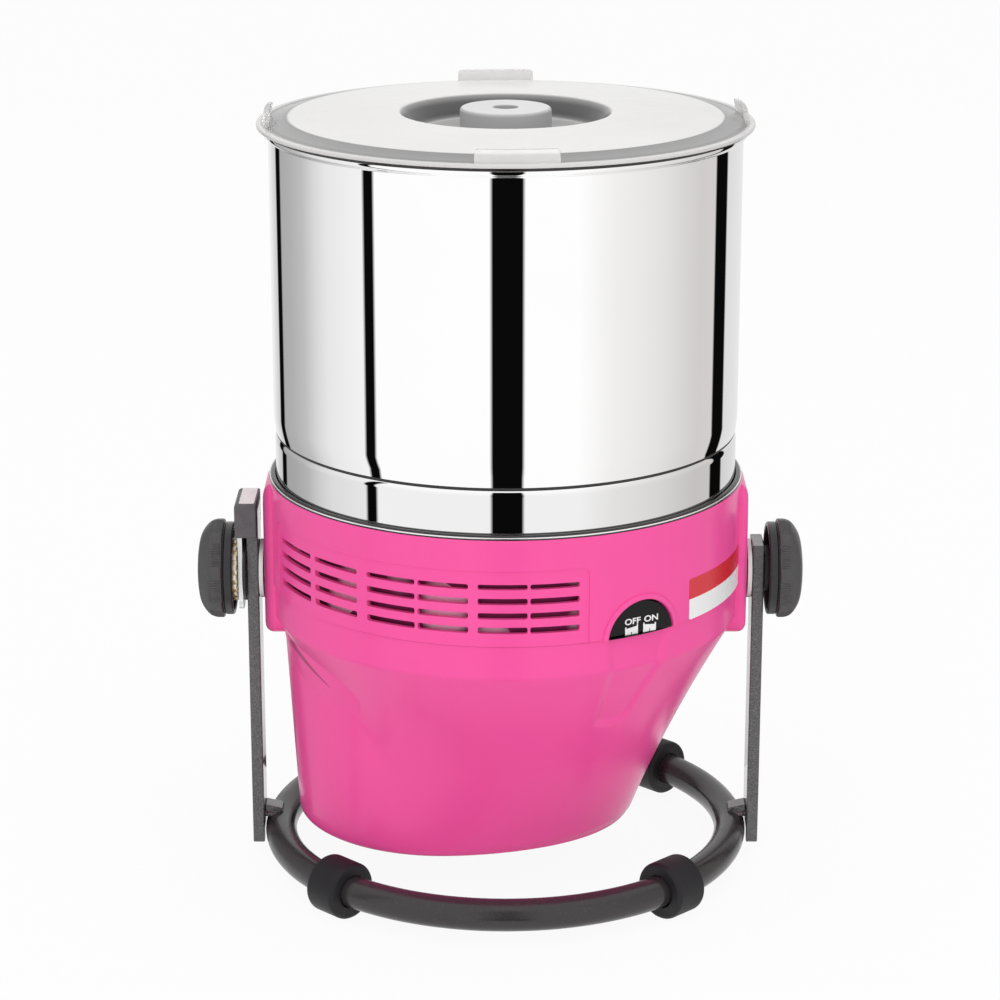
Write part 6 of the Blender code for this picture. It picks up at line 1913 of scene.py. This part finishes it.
    def make_lamp(self, name: str, place: Corner, size: float, power: float) -> None:
        """Hang a soft lamp that looks at the drum and stays out of reflections.

        Args:
            name: Its name.
            place: Where it hangs.
            size: Its width.
            power: Its power in watts.
        """
        data = bpy.data.lights.new(name, "AREA")
        data.shape, data.size, data.energy = "DISK", size, power
        lamp = bpy.data.objects.new(name, data)
        lamp.location = place
        lamp.rotation_euler = (Vector(self.aim) - Vector(place)).to_track_quat("-Z", "Y").to_euler()
        lamp.visible_glossy = False
        bpy.context.scene.collection.objects.link(lamp)


FRAME_FINISHES: dict[Finish, tuple[str, ...]] = {
    SATIN_BLACK: ("bottom_cover", "switch_body"),
    ZINC: ("chassis_plate", "cover_screw_1", "cover_screw_2", "cover_screw_3", "cover_screw_4",
           "pivot_bolt_left", "pivot_bolt_right", "lid_knob_screw", "lock_plate"),
    TURNED: ("centre_tube", "drum_spindle", "motor_shaft", "roller_axle_1", "roller_axle_2",
             "roller_axle_3"),
    CAST: ("drive_plate", "drum_pulley", "motor_pulley", "run_capacitor"),
    IRON: ("motor_casing",),
    BRONZE: ("lower_bush", "upper_bush"),
    NYLON: ("motor_fan", "roller_bush_1", "roller_bush_2", "roller_bush_3", "ear_washer_left",
            "ear_washer_right", "stone_holder"),
    BELT: ("drive_belt",),
    PINK: ("upper_housing", "lower_housing"),
    MIRROR: ("drum_shell",),
    TUBE_PAINT: ("base_ring",),
    COAT: ("upright_left", "upright_right", "weld_tab_left", "weld_tab_right"),
    RUBBER: ("foot_front_left", "foot_front_right", "foot_rear_left", "foot_rear_right"),
    CAP_BLACK: ("lock_cap",),
    ROCKER_BLACK: ("switch_rocker",),
    BLACK: ("thrust_washer", "cord_gland", "holder_nut"),
    KNOB_BLACK: ("knob_left", "knob_right"),
    GRANITE: ("base_stone", "roller_stone_1", "roller_stone_2", "roller_stone_3"),
    LID_PAINTED_SHADE: ("lid_shell",),
    GREY: ("lid_knob",),
    YELLOW: ("index_disc",),
}


def dress_frame() -> None:
    """Give every CAD node its finish, also those that a new piece stands for."""
    looks = {name: look for look, names in FRAME_FINISHES.items() for name in names}
    for name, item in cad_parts.items():
        item.data.materials.clear()
        item.data.materials.append(looks[name].material())
    log.info("frame: %d nodes dressed", len(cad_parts))


def main() -> None:
    """Build the studio and every piece."""
    logging.basicConfig(level=logging.INFO, format="%(name)s %(message)s")
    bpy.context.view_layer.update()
    Studio().build()
    dress_frame()
    Stand().build()
    Lock().build()
    ClampKnob(Side.LEFT, back=138.0, hub_face=3.5, patch_turn=33.0).build()
    ClampKnob(Side.RIGHT, back=133.2, hub_face=-1.6, length=18.0).build()
    Collar().build()
    LowerShell().build()
    Switch().build()
    Drum().build()
    Lid().build()
    bpy.context.view_layer.update()


if __name__ == "__main__":
    main()
